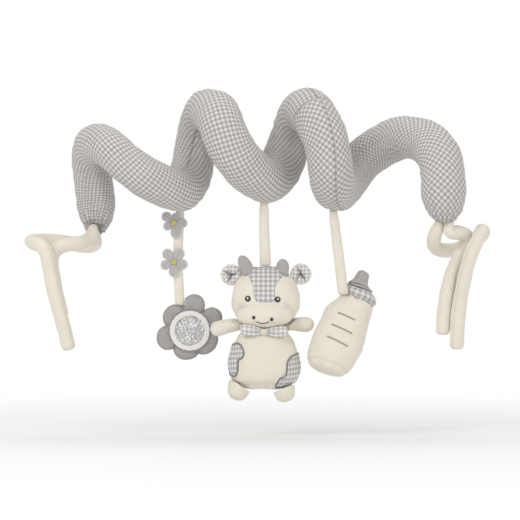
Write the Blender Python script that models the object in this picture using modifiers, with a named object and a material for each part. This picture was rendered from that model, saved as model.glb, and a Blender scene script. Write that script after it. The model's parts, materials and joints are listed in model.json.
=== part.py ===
# A stuffed activity spiral, wound to go round an arched bar, with three hanging toys: a flower
# with a mirror, a cow and a milk bottle. Metres, +Z up, +X right, +Y to the back.
# The origin lies on the centre line of the spiral's bore, at the top of its arch.

import math

import bmesh
import bpy
import numpy as np
from mathutils import Matrix, Vector
from mathutils.bvhtree import BVHTree

# The bore that the spiral leaves free. Its centre line is half a superellipse: half of its
# width, its height and its power
ARCH_HALF_WIDTH = 0.200
ARCH_HEIGHT = 0.1845
ARCH_POWER = 2.4
BORE_RADIUS = 0.0135

# The wound tube
TUBE_RADIUS = 0.0205
SQUEEZE = 0.002          # how deep a bar in the bore presses into the soft tube
NECK_RADIUS = 0.0085     # the gathered end, where the tie cords are sewn in
END_LENGTH = 0.028       # the rounded stretch before it
TIE_RADIUS = 0.0064
TIE_ROOT_RADIUS = 0.0036

# The three flat straps
STRAP_WIDTH = 0.0095
STRAP_THICKNESS = 0.004
FLOWER_STRAP_LENGTH = 0.0835
COW_STRAP_LENGTH = 0.0525
BOTTLE_STRAP_LENGTH = 0.0720

# The toys
FLOWER_RADIUS = 0.033
HEAD_WIDTH = 0.0618
HEAD_HEIGHT = 0.0535
BODY_WIDTH = 0.0654
BODY_HEIGHT = 0.0605
BOTTLE_WIDTH = 0.0452
BOTTLE_LENGTH = 0.071

CLEARANCE = 0.0003       # between two pieces that touch
MERGE = 0.00001
FELT = 0.0016
APPLIQUE = 0.0008        # cloth sewn on to a stuffed form

# How far the joints turn, in degrees; the positive way is back, and left hand forward
FLOWER_SWING = (-6, 35)
COW_SWING = (-35, 6)
BOTTLE_SWING = (-35, 30)
FLOWER_TWIST = (-10, 30)
COW_TWIST = (-6, 25)
BOTTLE_TWIST = (-20, 20)
ARM_FLAP = (-5, 40)
LEG_FLAP = (-20, 20)

CREAM = (0.84, 0.77, 0.65)
GINGHAM = (0.62, 0.60, 0.60)
GREY = (0.42, 0.41, 0.43)
WHITE = (0.86, 0.85, 0.83)
SILVER = (0.72, 0.72, 0.73)
YELLOW = (0.85, 0.74, 0.22)
THREAD = (0.06, 0.055, 0.06)


# Smooth lines

def monotone(knots, values, wanted):
    """A cubic through the knots that never overshoots between them, read at the wanted places."""
    knots, values = np.asarray(knots, float), np.asarray(values, float)
    step = np.diff(knots)
    slope = np.diff(values) / step
    tangent = np.zeros(len(knots))
    tangent[0], tangent[-1] = slope[0], slope[-1]
    for i in range(1, len(knots) - 1):
        if slope[i - 1] * slope[i] > 0:
            before, after = 2 * step[i] + step[i - 1], step[i] + 2 * step[i - 1]
            tangent[i] = (before + after) / (before / slope[i - 1] + after / slope[i])
    span = np.clip(np.searchsorted(knots, wanted) - 1, 0, len(knots) - 2)
    h = step[span]
    t = (wanted - knots[span]) / h
    return (
        (2 * t ** 3 - 3 * t ** 2 + 1) * values[span] + (t ** 3 - 2 * t ** 2 + t) * h * tangent[span]
        + (3 * t ** 2 - 2 * t ** 3) * values[span + 1] + (t ** 3 - t ** 2) * h * tangent[span + 1]
    )


def through(points, closed=False, per_span=6):
    """A smooth line through the points: a Catmull-Rom curve, whose ends run straight on."""
    points = np.asarray(points, float)
    if closed:
        ring = np.vstack([points[-1], points, points[0], points[1]])
    else:
        ring = np.vstack([2 * points[0] - points[1], points, 2 * points[-1] - points[-2]])
    line = []
    for a, b, c, d in zip(ring, ring[1:], ring[2:], ring[3:]):
        for t in np.arange(per_span) / per_span:
            line.append(
                (2 * b + (c - a) * t + (2 * a - 5 * b + 4 * c - d) * t ** 2
                 + (3 * b - a - 3 * c + d) * t ** 3) / 2
            )
    return np.array(line if closed else line + [points[-1]])


def lengths_along(line):
    """The distance of each point from the start of the line."""
    return np.concatenate([[0], np.cumsum(np.linalg.norm(np.diff(line, axis=0), axis=1))])


def spaced(line, spacing):
    """The line again, with its points at an even spacing."""
    along = lengths_along(line)
    wanted = np.linspace(0, along[-1], round(along[-1] / spacing) + 1)
    return np.array([np.interp(wanted, along, axis) for axis in line.T]).T


# Making objects

def clear_scene():
    for old in list(bpy.data.objects):
        bpy.data.objects.remove(old, do_unlink=True)


def collection(name):
    made = bpy.data.collections.new(name)
    bpy.context.scene.collection.children.link(made)
    return made


def material(name, colour, roughness=0.9, metallic=0.0):
    made = bpy.data.materials.new(name)
    made.use_nodes = True
    surface = made.node_tree.nodes["Principled BSDF"]
    surface.inputs["Base Color"].default_value = (*colour, 1)
    surface.inputs["Roughness"].default_value = roughness
    surface.inputs["Metallic"].default_value = metallic
    made.diffuse_color = (*colour, 1)
    return made


def node(name, mesh, colour, pivot=None, roughness=0.9, metallic=0.0):
    """One piece of the object, round pieces shaded smooth, carried by its pivot."""
    mesh.name = name
    mesh.shade_smooth()
    mesh.set_sharp_from_angle(angle=math.radians(50))
    mesh.materials.clear()
    mesh.materials.append(material(name, colour, roughness, metallic))
    made = bpy.data.objects.new(name, mesh)
    parts.objects.link(made)
    made.parent = pivot
    return made


def pivot_at(name, place, parent=None):
    """An empty on a joint's axis. Its place is given in its parent's frame."""
    made = bpy.data.objects.new(name, None)
    made.empty_display_size = STRAP_WIDTH
    made.location = place
    made.parent = parent
    parts.objects.link(made)
    return made


def as_mesh(made):
    """The evaluated object as a mesh with its caps welded; the object itself goes."""
    bpy.context.view_layer.update()
    mesh = bpy.data.meshes.new_from_object(made.evaluated_get(bpy.context.evaluated_depsgraph_get()))
    mesh.transform(made.matrix_world)
    bpy.data.objects.remove(made, do_unlink=True)
    work = bmesh.new()
    work.from_mesh(mesh)
    bmesh.ops.remove_doubles(work, verts=work.verts, dist=MERGE)
    bmesh.ops.recalc_face_normals(work, faces=work.faces)
    work.to_mesh(mesh)
    work.free()
    return mesh


def scratch(data):
    made = bpy.data.objects.new("scratch", data)
    bench.objects.link(made)
    made.display_type = "WIRE"
    made.hide_render = True
    return made


def tube(points, radii, resolution):
    """A round tube along the points, each with its own radius, closed at both ends."""
    curve = bpy.data.curves.new("tube", "CURVE")
    curve.dimensions = "3D"
    curve.bevel_depth = 1
    curve.bevel_resolution = resolution
    curve.use_fill_caps = True
    spline = curve.splines.new("POLY")
    spline.points.add(len(points) - 1)
    for spot, place, radius in zip(spline.points, points, radii):
        spot.co = (*place, 1)
        spot.radius = radius
    return as_mesh(scratch(curve))


def turned(profile, steps=24):
    """A profile of (radius, height) points, from the top down its outer side, turned about Z."""
    mesh = bpy.data.meshes.new("profile")
    mesh.from_pydata([(r, 0, z) for r, z in profile], [(i, i + 1) for i in range(len(profile) - 1)], [])
    made = scratch(mesh)
    screw = made.modifiers.new("turn", "SCREW")
    screw.steps = screw.render_steps = steps
    screw.use_merge_vertices = True
    screw.merge_threshold = MERGE
    return as_mesh(made)


def stuffed(width, depth, height, outline_shares, steps=24, per_span=2):
    """A stuffed form that stands on the origin. The outline gives half widths as shares of half
    its width at heights as shares of its height, from the bottom up."""
    line = through(outline_shares, per_span=per_span)[::-1]
    mesh = turned([(max(r, 0) * width / 2, z * height) for z, r in line], steps)
    mesh.transform(Matrix.Diagonal((1, depth / width, 1, 1)))
    return mesh


def flat(outline, thickness):
    """A closed outline in X and Z, made a sheet of the thickness about Y = 0."""
    curve = bpy.data.curves.new("outline", "CURVE")
    curve.dimensions = "2D"
    curve.fill_mode = "BOTH"
    curve.extrude = thickness / 2
    spline = curve.splines.new("POLY")
    spline.points.add(len(outline) - 1)
    for spot, (x, z) in zip(spline.points, outline):
        spot.co = (x, z, 0, 1)
    spline.use_cyclic_u = True
    made = scratch(curve)
    made.rotation_euler.x = math.pi / 2
    return as_mesh(made)


def puffed(outline, thickness, edge):
    """Like flat, with its rims rounded over by the edge."""
    curve = bpy.data.curves.new("outline", "CURVE")
    curve.dimensions = "2D"
    curve.fill_mode = "BOTH"
    curve.extrude = thickness / 2 - edge
    curve.bevel_depth = edge
    curve.bevel_resolution = 2
    curve.offset = -edge
    spline = curve.splines.new("POLY")
    spline.points.add(len(outline) - 1)
    for spot, (x, z) in zip(spline.points, outline):
        spot.co = (x, z, 0, 1)
    spline.use_cyclic_u = True
    made = scratch(curve)
    made.rotation_euler.x = math.pi / 2
    return as_mesh(made)


def moved(mesh, matrix):
    copy = mesh.copy()
    copy.transform(matrix)
    return copy


def shifted(mesh, x=0, y=0, z=0):
    return moved(mesh, Matrix.Translation((x, y, z)))


def aimed(mesh, root, direction):
    """A form that stands on Z, laid with its foot on the root and its Z along the direction."""
    turn = Vector((0, 0, 1)).rotation_difference(Vector(direction)).to_matrix().to_4x4()
    return moved(mesh, Matrix.Translation(root) @ turn)


def grown(mesh, distance):
    """The same form with each point moved out along its normal."""
    copy = mesh.copy()
    for vertex, normal in zip(copy.vertices, [n.vector.copy() for n in copy.vertex_normals]):
        vertex.co += normal * distance
    return copy


def combined(mesh, other, operation):
    made, tool = scratch(mesh.copy()), scratch(other)
    boolean = made.modifiers.new("cut", "BOOLEAN")
    boolean.object = tool
    boolean.operation = operation
    boolean.solver = "EXACT"
    result = as_mesh(made)
    bpy.data.objects.remove(tool, do_unlink=True)
    return result


def seated(mesh, bases, pivot=(0, 0, 0), axis="Z", angles=(0,), covers=()):
    """The form cut back by what carries it, at each of the joint's angles, with the clearance.
    The covers are room for sewn-on pieces, and have their clearance already."""
    centre = Vector(pivot)
    for wide in [grown(base, CLEARANCE) for base in bases] + list(covers):
        for angle in angles:
            turn = (
                Matrix.Translation(centre) @ Matrix.Rotation(-math.radians(angle), 4, axis)
                @ Matrix.Translation(-centre)
            )
            mesh = combined(mesh, moved(wide, turn), "DIFFERENCE")
    return mesh


def cap(base, outline, rise, middle=0):
    """The front of a form within the outline, raised all over."""
    column = shifted(flat(outline, BODY_WIDTH), y=middle - BODY_WIDTH / 2)
    return combined(column, grown(base, rise), "INTERSECT")


def applied(base, outline, rise=APPLIQUE, middle=0):
    """A thin piece sewn on to the front of a form: the form's own skin within the outline."""
    raised = cap(base, outline, CLEARANCE + rise, middle)
    return combined(raised, grown(base, CLEARANCE), "DIFFERENCE")


def room_for(base, outline, rise=APPLIQUE):
    """The space that an applied piece and its clearance take."""
    line = np.array(outline)
    way = np.roll(line, -1, axis=0) - np.roll(line, 1, axis=0)
    out = np.column_stack([way[:, 1], -way[:, 0]]) / np.linalg.norm(way, axis=1, keepdims=True)
    turning = np.cross(line, np.roll(line, -1, axis=0)).sum()
    return cap(base, line + out * CLEARANCE * np.sign(turning), rise + 2 * CLEARANCE)


def steps_between(limits, count):
    return np.linspace(limits[0], limits[1], count)


# The wound tube

# Each row is a quarter turn or so: the turn itself, where it lies along half the arch, its
# distance from the bore's centre line as a share of a close winding's, and the tube's radius
# as a share of the full one. A whole turn is on the outer side, a quarter more is in front, a
# half on the inner side.
WINDING_SHARES = (
    (-0.395, -0.580, 0.97, 0.86), (-0.25, -0.510, 1.00, 0.86), (0.00, -0.426, 1.20, 0.86),
    (0.25, -0.369, 1.04, 0.86), (0.50, -0.256, 1.08, 0.93), (0.75, -0.182, 1.00, 0.93),
    (1.00, -0.131, 1.02, 0.98), (1.25, -0.080, 1.00, 1.00), (1.50, 0.024, 0.98, 1.00),
    (1.75, 0.091, 1.00, 0.94), (2.00, 0.128, 1.03, 1.00), (2.25, 0.200, 1.00, 1.00),
    (2.50, 0.254, 0.97, 1.00), (2.75, 0.308, 1.00, 0.93), (2.95, 0.395, 1.24, 0.93),
    (3.05, 0.455, 1.28, 0.97), (3.18, 0.538, 1.10, 1.00), (3.26, 0.600, 1.00, 1.00),
)
TUBE_SPACING = 0.0105    # between the rings of the tube
END_RING_SHARES = (0, 0.03, 0.1, 0.22, 0.4, 0.65, 0.95)
SEAM_REACH = 0.15        # in turns, either side of the turn that a strap hangs from
SAMPLES = 2000


def arch_line():
    """The bore's centre line as points in X and Z, left to right."""
    angle = np.linspace(-math.pi / 2, math.pi / 2, SAMPLES + 1)
    power = 2 / ARCH_POWER
    x = ARCH_HALF_WIDTH * np.sign(np.sin(angle)) * np.abs(np.sin(angle)) ** power
    z = ARCH_HEIGHT * (np.abs(np.cos(angle)) ** power - 1)
    return np.column_stack([x, z])


def arch_places(shares):
    """Points of the centre line and the directions along it, at shares of the arch's half length."""
    line = arch_line()
    along = lengths_along(line)
    half = along[-1] / 2
    tangent = np.gradient(line, along, axis=0)
    at = half + np.asarray(shares) * half
    place = np.column_stack([np.interp(at, along, axis) for axis in line.T])
    way = np.column_stack([np.interp(at, along, axis) for axis in tangent.T])
    return place, way / np.linalg.norm(way, axis=1, keepdims=True)


def winding(first=None, last=None):
    """The tube between two turns: the points of its centre line, and its radii."""
    turns, shares, stands, fullness = np.array(WINDING_SHARES).T
    first = turns[0] if first is None else first
    last = turns[-1] if last is None else last
    wanted = np.linspace(first, last, SAMPLES + 1)
    place, way = arch_places(monotone(turns, shares, wanted))
    out = np.column_stack([-way[:, 1], way[:, 0]])
    full = TUBE_RADIUS * monotone(turns, fullness, wanted)
    radius = (BORE_RADIUS + full - SQUEEZE) * monotone(turns, stands, wanted)
    angle = wanted * 2 * math.pi
    flat_place = place + out * (radius * np.cos(angle))[:, None]
    return np.column_stack([flat_place[:, 0], -radius * np.sin(angle), flat_place[:, 1]]), full


def with_round_ends(line, full):
    """The tube's rings at an even spacing, closer near both ends, where it rounds down to the
    gathered necks."""
    along = lengths_along(line)
    even = np.linspace(0, along[-1], round(along[-1] / TUBE_SPACING) + 1)
    middle = even[(even > END_LENGTH) & (even < along[-1] - END_LENGTH)]
    start = np.array(END_RING_SHARES) * END_LENGTH
    wanted = np.concatenate([start, middle, (along[-1] - start)[::-1]])
    places = np.array([np.interp(wanted, along, axis) for axis in line.T]).T
    from_end = np.minimum(wanted, along[-1] - wanted)
    share = np.clip(from_end / END_LENGTH, 0, 1)
    swell = np.interp(wanted, along, full) - NECK_RADIUS
    return places, NECK_RADIUS + swell * np.sqrt(1 - (1 - share) ** 2)


def least_gap(line, radii):
    """The smallest gap between two stretches of the tube that lie half a turn or more apart."""
    along = lengths_along(line)
    apart = math.pi * (BORE_RADIUS + TUBE_RADIUS)
    reach = np.linalg.norm(line[:, None] - line[None], axis=2) - radii[:, None] - radii[None]
    far = np.abs(along[:, None] - along[None]) > apart
    return reach[far].min()


def strap_seam(skin, turn, setback):
    """Where a strap is sewn under the tube near the turn: the axis of its rounded top, on the
    tube's lower skin where that lies this far behind the bore's centre line."""
    line, full = winding(turn - SEAM_REACH, turn + SEAM_REACH)
    way = np.gradient(line, axis=0)
    way /= np.linalg.norm(way, axis=1, keepdims=True)
    down = way * way[:, 2:] - (0, 0, 1)
    down /= np.linalg.norm(down, axis=1, keepdims=True)
    below = line + down * full[:, None]
    at = np.abs(below[:, 1] - setback).argmin()
    seat = skin.ray_cast(Vector(below[at] + down[at] * TUBE_RADIUS), Vector(-down[at]))[0]
    return seat + Vector(down[at]) * (CLEARANCE + STRAP_THICKNESS / 2)


def make_tube():
    line, radii = with_round_ends(*winding())
    gap = least_gap(line, radii)
    print(f"spiral tube: {lengths_along(line)[-1]:.3f} m long, least gap to itself {gap * 1000:.1f} mm")
    mesh = tube(line, radii, 4)
    node("spiral_tube", mesh, GINGHAM)
    return line, BVHTree.FromPolygons([v.co for v in mesh.vertices], [p.vertices for p in mesh.polygons])


# The four tie cords. Each route starts at its gathered end and goes on through these points.

TIE_ROUTES = {
    "left_tie_front": (
        (-0.1515, 0.0000, -0.0840), (-0.1565, -0.0095, -0.0870), (-0.1640, -0.0175, -0.0880),
        (-0.1735, -0.0205, -0.0895), (-0.1810, -0.0205, -0.0935), (-0.1850, -0.0205, -0.1010),
        (-0.1850, -0.0205, -0.1120), (-0.1820, -0.0205, -0.1280), (-0.1785, -0.0205, -0.1440),
        (-0.1760, -0.0205, -0.1560),
    ),
    "left_tie_back": (
        (-0.1485, 0.0205, -0.0900), (-0.1595, 0.0245, -0.0912), (-0.1720, 0.0225, -0.0885),
        (-0.1850, 0.0210, -0.0870), (-0.1965, 0.0145, -0.0865), (-0.2030, 0.0030, -0.0865),
        (-0.2035, -0.0090, -0.0870), (-0.2000, -0.0210, -0.0880), (-0.1940, -0.0310, -0.0900),
        (-0.1890, -0.0350, -0.0980), (-0.1865, -0.0345, -0.1110), (-0.1830, -0.0350, -0.1280),
        (-0.1785, -0.0348, -0.1460), (-0.1735, -0.0325, -0.1650), (-0.1695, -0.0300, -0.1830),
    ),
    "right_tie_front": (
        (0.1710, -0.0330, -0.0775), (0.1790, -0.0275, -0.0785), (0.1860, -0.0225, -0.0815),
        (0.1865, -0.0205, -0.0895), (0.1800, -0.0205, -0.1005), (0.1730, -0.0205, -0.1160),
        (0.1690, -0.0205, -0.1320), (0.1665, -0.0205, -0.1480), (0.1648, -0.0205, -0.1700),
    ),
    "right_tie_back": (
        (0.1590, -0.0275, -0.0775), (0.1570, -0.0165, -0.0855), (0.1590, -0.0020, -0.0915),
        (0.1650, 0.0130, -0.0950), (0.1760, 0.0215, -0.0950), (0.1890, 0.0205, -0.0900),
        (0.1980, 0.0120, -0.0845), (0.2015, -0.0005, -0.0800), (0.2010, -0.0140, -0.0770),
        (0.1988, -0.0272, -0.0780), (0.1950, -0.0355, -0.0860), (0.1895, -0.0350, -0.0980),
        (0.1850, -0.0300, -0.1150), (0.1810, -0.0255, -0.1370), (0.1785, -0.0245, -0.1600),
        (0.1775, -0.0245, -0.1830),
    ),
}
TIE_SPACING = 0.0075     # between the rings of a tie
TIE_LEAVE = 0.0042       # how far it runs straight out of the gathered end
TIE_TAPER = 0.018        # the stretch at its root over which it swells
TIE_END = 0.005          # the rounded stretch at its free end
TIE_TIP_SHARE = 0.45     # the radius at the tip


def tie_line(name, tube_line):
    """A tie's centre line, from just off the gathered end of the tube on its side."""
    at_start = name.startswith("left")
    end, before = (tube_line[0], tube_line[1]) if at_start else (tube_line[-1], tube_line[-2])
    outward = (end - before) / np.linalg.norm(end - before)
    route = np.array(TIE_ROUTES[name])
    aside = route[0] - end
    aside -= outward * aside.dot(outward)
    aside /= np.linalg.norm(aside)
    root = end + outward * (CLEARANCE + MERGE) + aside * (NECK_RADIUS - TIE_ROOT_RADIUS)
    leave = root + outward * TIE_LEAVE
    rest = spaced(through(np.vstack([root, leave, route]), per_span=12), TIE_SPACING)
    return np.vstack([root, leave, rest[1:]])


def tie_radii(along):
    """Thin where the tie is sewn in, full along its length and rounded at its free end."""
    swell = np.clip(along / TIE_TAPER, 0, 1)
    close = np.clip((along[-1] - along) / TIE_END, 0, 1)
    body = TIE_ROOT_RADIUS + (TIE_RADIUS - TIE_ROOT_RADIUS) * swell * (2 - swell)
    return body * (TIE_TIP_SHARE + (1 - TIE_TIP_SHARE) * np.sqrt(1 - (1 - close) ** 2))


def make_ties(tube_line):
    for name in TIE_ROUTES:
        line = tie_line(name, tube_line)
        along = lengths_along(line)
        end = line[-1] - (line[-1] - line[-2]) * (TIE_END / np.linalg.norm(line[-1] - line[-2])) / 2
        line = np.vstack([line[:-1], end, line[-1]])
        along = lengths_along(line)
        node(name, tube(line, tie_radii(along), 2), CREAM)


# The straps

STRAP_PINCH_SHARE = 0.8  # its width at the seams
STRAP_RING_SHARES = (0.18, 0.5, 0.82)


def strap(length):
    """A flat stuffed strap that hangs from the origin. Both ends are round about the X axis."""
    cap = STRAP_THICKNESS / 2
    half = STRAP_WIDTH / 2 * STRAP_PINCH_SHARE
    angle = np.radians((90, 60, 30, 0))
    top = [(half * math.cos(a), cap * math.sin(a)) for a in angle]
    side = [(STRAP_WIDTH / 2, z * -length) for z in STRAP_RING_SHARES]
    bottom = [(r, -length - z) for r, z in top[::-1]]
    mesh = turned([(max(r, 0), z) for r, z in top + side + bottom], 16)
    mesh.transform(Matrix.Diagonal((1, STRAP_THICKNESS / STRAP_WIDTH, 1, 1)))
    return mesh


def leaning(mesh, length, across, forward):
    """The strap sheared so that its lower end lies across and forward of its upper one."""
    lean = Matrix.Identity(4)
    lean[0][2] = -across / length
    lean[1][2] = forward / length
    return moved(mesh, lean)


# The flower toy and the two felt flowers on its strap

FLOWER_ASIDE = 0.0093    # from the strap to the flower's centre
FLOWER_STRAP_ASIDE = -0.0034
FLOWER_BELOW = 0.0235    # from the strap's lower end to it
FLOWER_THICKNESS = 0.007
FLOWER_EDGE = 0.0024
FLOWER_SETBACK = 0.0085  # its strap hangs this far behind the tube's lowest line
RING_RADIUS = 0.018
RING_WIDTH = 0.0038
RING_HEIGHT = 0.0034
MIRROR_RADIUS = 0.0160
FELT_FLOWER_RADIUS = 0.0108
FELT_FLOWERS = {"upper_felt_flower": (-0.0070, -0.0128), "lower_felt_flower": (-0.0078, -0.0467)}
FELT_CENTRE_RADIUS = 0.0024
FELT_CENTRE_SHARES = ((0, 0), (0, 0.9), (0.3, 1), (0.75, 0.8), (1, 0))
FLOWER_TURN = math.radians(20)
PETAL_REACH_SHARE = 0.655   # a petal's own centre, from the flower's, as a share of the radius
FELT_REACH_SHARE = 0.61


def petal_outline(radius, reach_share, count, first_angle, per_petal):
    """Round petals about the origin: circles whose centres lie at the reach."""
    reach = radius * reach_share
    petal = radius - reach
    outline = []
    for i in range(count * per_petal):
        angle = (i / per_petal) * 2 * math.pi / count
        aside = (angle + math.pi / count) % (2 * math.pi / count) - math.pi / count
        far = reach * math.cos(aside) + math.sqrt(max(petal ** 2 - (reach * math.sin(aside)) ** 2, 0))
        turn = angle + first_angle
        outline.append((far * math.cos(turn), far * math.sin(turn)))
    return outline


def make_flower(strap_pivot):
    strap_mesh = leaning(strap(FLOWER_STRAP_LENGTH), FLOWER_STRAP_LENGTH, FLOWER_STRAP_ASIDE, 0)
    node("flower_strap", strap_mesh, CREAM, strap_pivot)
    front = -STRAP_THICKNESS / 2 - CLEARANCE - FELT / 2
    for name, (x, z) in FELT_FLOWERS.items():
        outline = petal_outline(FELT_FLOWER_RADIUS, FELT_REACH_SHARE, 5, -math.pi / 2, 8)
        node(name, shifted(flat(outline, FELT), x, front, z), GREY, strap_pivot)
        dot = stuffed(FELT_CENTRE_RADIUS * 2, FELT_CENTRE_RADIUS * 2, FELT, FELT_CENTRE_SHARES, 12, 1)
        dot.transform(Matrix.Rotation(math.pi / 2, 4, "X"))
        seat = front - FELT / 2 - CLEARANCE
        node(name.replace("flower", "centre"), shifted(dot, x, seat, z), YELLOW, strap_pivot)

    pivot = pivot_at("flower_pivot", (FLOWER_STRAP_ASIDE, 0, -FLOWER_STRAP_LENGTH), strap_pivot)
    outline = petal_outline(FLOWER_RADIUS, PETAL_REACH_SHARE, 6, FLOWER_TURN, 8)
    petals = shifted(puffed(outline, FLOWER_THICKNESS, FLOWER_EDGE), FLOWER_ASIDE, 0, -FLOWER_BELOW)
    half, below = STRAP_WIDTH / 2 + CLEARANCE, -STRAP_THICKNESS / 2 - CLEARANCE
    notch = turned([(0, FLOWER_BELOW), (half, FLOWER_BELOW), (half, below), (0, below)], 20)
    node("flower_petals", combined(petals, notch, "DIFFERENCE"), GREY, pivot)
    front = -FLOWER_THICKNESS / 2 - CLEARANCE
    disc = turned([(0, 0), (MIRROR_RADIUS, 0), (MIRROR_RADIUS, -APPLIQUE), (0, -APPLIQUE)], 32)
    disc.transform(Matrix.Rotation(math.pi / 2, 4, "X"))
    disc = shifted(disc, FLOWER_ASIDE, front - APPLIQUE, -FLOWER_BELOW)
    node("flower_mirror", disc, SILVER, pivot, 0.25, 0.8)
    front -= APPLIQUE + CLEARANCE
    middle = RING_RADIUS - RING_WIDTH / 2
    around = np.linspace(0, 2 * math.pi, 11)[:-1]
    profile = [
        (middle + math.sin(a) * RING_WIDTH / 2, math.cos(a) * RING_HEIGHT / 2) for a in around
    ]
    ring = turned(profile + profile[:1], 32)
    ring.transform(Matrix.Rotation(math.pi / 2, 4, "X"))
    ring = shifted(ring, FLOWER_ASIDE, front - RING_HEIGHT / 2, -FLOWER_BELOW)
    node("flower_ring", ring, WHITE, pivot)


# The cow. Its frame lies at the top of the head, where the strap is sewn on.

COW_SETBACK = -0.006
COW_STRAP_ASIDE = 0.0015
HEAD_DEPTH = 0.038
HEAD_SHARES = (
    (0, 0), (0.02, 0.36), (0.08, 0.62), (0.18, 0.84), (0.32, 0.985), (0.46, 1.0), (0.62, 0.965),
    (0.76, 0.88), (0.88, 0.72), (0.955, 0.50), (0.99, 0.25), (1, 0),
)
BODY_DEPTH = 0.043
BODY_ASIDE = -0.0025
BODY_DROP = 0.0500       # from the top of the head to the hidden top of the body
BODY_SHARES = (
    (0, 0), (0.015, 0.42), (0.06, 0.72), (0.14, 0.91), (0.27, 0.99), (0.42, 1.0), (0.58, 0.96),
    (0.72, 0.86), (0.86, 0.70), (0.95, 0.50), (0.99, 0.25), (1, 0),
)
MUZZLE_SIZE = (0.0530, 0.0250, 0.0215)
MUZZLE_PLACE = (-0.0008, -0.0115, -0.0540)
EAR_RADIUS = 0.0095
EAR_THICKNESS = 0.0075
EAR_SHARES = (
    (0, 0.35), (0.3, 0.6), (0.62, 1), (0.92, 0.62), (1, 0), (0.92, -0.62), (0.6, -0.95), (0, -1),
)
EAR_PLACES = {"left_ear": (-0.0322, -0.0072), "right_ear": (0.0326, -0.0068)}
HORN_WIDTH = 0.0108
HORN_LENGTH = 0.0215
HORN_ROOTS = {"left_horn": (-0.0150, -0.0080), "right_horn": (0.0152, -0.0090)}
HORN_LEANS = {"left_horn": -0.34, "right_horn": 0.12}
HORN_SHARES = ((0, 0), (0.02, 0.45), (0.2, 0.9), (0.5, 1.0), (0.78, 0.85), (0.95, 0.45), (1, 0))
FACE_ASIDE = -0.0016     # the face looks a little to its right
EYE_RADIUS = 0.0027
EYE_APART = 0.0266
EYE_DROP = 0.0289
NOSTRIL_RADIUS = 0.0015
NOSTRIL_APART = 0.0160
NOSTRIL_DROP = 0.0463
SMILE_WIDTH = 0.0114
SMILE_SAG = 0.0020
SMILE_DROP = 0.0500
SMILE_STROKE = 0.0010
STITCH_RISE = 0.0005
PANEL_SHARES = (
    (-0.53, 1.10), (-0.53, 0.82), (-0.40, 0.50), (-0.30, 0.16), (-0.25, -0.12), (-0.18, -0.20),
    (0.14, -0.22), (0.20, -0.14), (0.23, 0.06), (0.34, 0.40), (0.53, 0.78), (0.53, 1.10),
)
BOW_SIZE = (0.0450, 0.0095, 0.0118)
BOW_PLACE = (-0.0010, -0.0190, -0.0563)
BOW_SHARES = (
    (0, 0), (0.012, 0.5), (0.05, 0.86), (0.14, 1.0), (0.28, 0.84), (0.42, 0.52), (0.5, 0.45),
    (0.58, 0.52), (0.72, 0.84), (0.86, 1.0), (0.95, 0.86), (0.988, 0.5), (1, 0),
)
KNOT_RADIUS = 0.0042
BALL_SHARES = (
    (0, 0), (0.03, 0.34), (0.15, 0.71), (0.32, 0.93), (0.5, 1.0), (0.68, 0.93), (0.85, 0.71),
    (0.97, 0.34), (1, 0),
)
LEFT_PATCH_SHARES = (
    (-0.94, 0.31), (-0.83, 0.37), (-0.71, 0.39), (-0.60, 0.28), (-0.54, 0.10), (-0.59, -0.06),
    (-0.68, -0.16), (-0.69, -0.40), (-0.76, -0.60), (-0.89, -0.63), (-1.02, -0.49), (-1.10, -0.13),
    (-1.08, 0.16),
)
RIGHT_PATCH_SHARES = (
    (1.04, 0.04), (0.85, 0.03), (0.71, -0.06), (0.65, -0.21), (0.63, -0.46), (0.57, -0.60),
    (0.46, -0.65), (0.37, -0.79), (0.33, -0.91), (0.49, -1.01), (0.71, -0.97), (0.93, -0.82),
    (1.10, -0.43),
)
ARM_LENGTH = 0.0345
ARM_WIDTH = 0.0136
ARM_SHARES = (
    (0, 0), (0.03, 0.45), (0.1, 0.74), (0.24, 0.86), (0.5, 0.88), (0.72, 0.98), (0.86, 0.93),
    (0.96, 0.56), (1, 0),
)
SHOULDERS = {"left_arm": (-0.0232, -0.0040, -0.0488), "right_arm": (0.0186, 0.0030, -0.0488)}
ARM_WAYS = {"left_arm": (-1.0, -0.26, -0.28), "right_arm": (1.0, 0.10, -0.20)}
LEG_LENGTH = 0.0275
LEG_WIDTH = 0.0206
LEG_SHARES = (
    (0, 0), (0.03, 0.42), (0.12, 0.76), (0.3, 0.95), (0.5, 1.0), (0.72, 0.97), (0.88, 0.76),
    (0.97, 0.4), (1, 0),
)
HIPS = {"left_leg": (-0.0218, -0.0010, -0.0975), "right_leg": (0.0170, -0.0010, -0.0980)}
LEG_WAYS = {"left_leg": (-0.10, -0.32, -1.0), "right_leg": (0.02, -0.32, -1.0)}


def disc_outline(x, z, radius, count=16):
    turns = np.arange(count) / count * 2 * math.pi
    return [(x + radius * math.cos(a), z + radius * math.sin(a)) for a in turns]


def arc_outline(x, z, width, sag, stroke, count=9):
    """A smile: a shallow bow with round ends, drawn as a closed band."""
    across = np.linspace(-1, 1, count)
    line = [(x + width / 2 * a, z - sag * (1 - a * a)) for a in across]
    upper = [(px, pz + stroke / 2) for px, pz in line]
    lower = [(px, pz - stroke / 2) for px, pz in line[::-1]]
    return upper + [(x + width / 2 + stroke / 2, z)] + lower + [(x - width / 2 - stroke / 2, z)]


def shaped(shares, half_width, half_height, x, z):
    """A closed outline from shares of a form's half width and half height about its centre."""
    return [(x + a * half_width, z + b * half_height) for a, b in through(shares, True, 3)]


def ear_form():
    """A gathered round of cloth, drawn in at the middle of its front."""
    mesh = turned([(r * EAR_RADIUS, z * EAR_THICKNESS / 2) for r, z in EAR_SHARES], 20)
    mesh.transform(Matrix.Rotation(math.pi / 2, 4, "X"))
    return mesh


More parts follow.
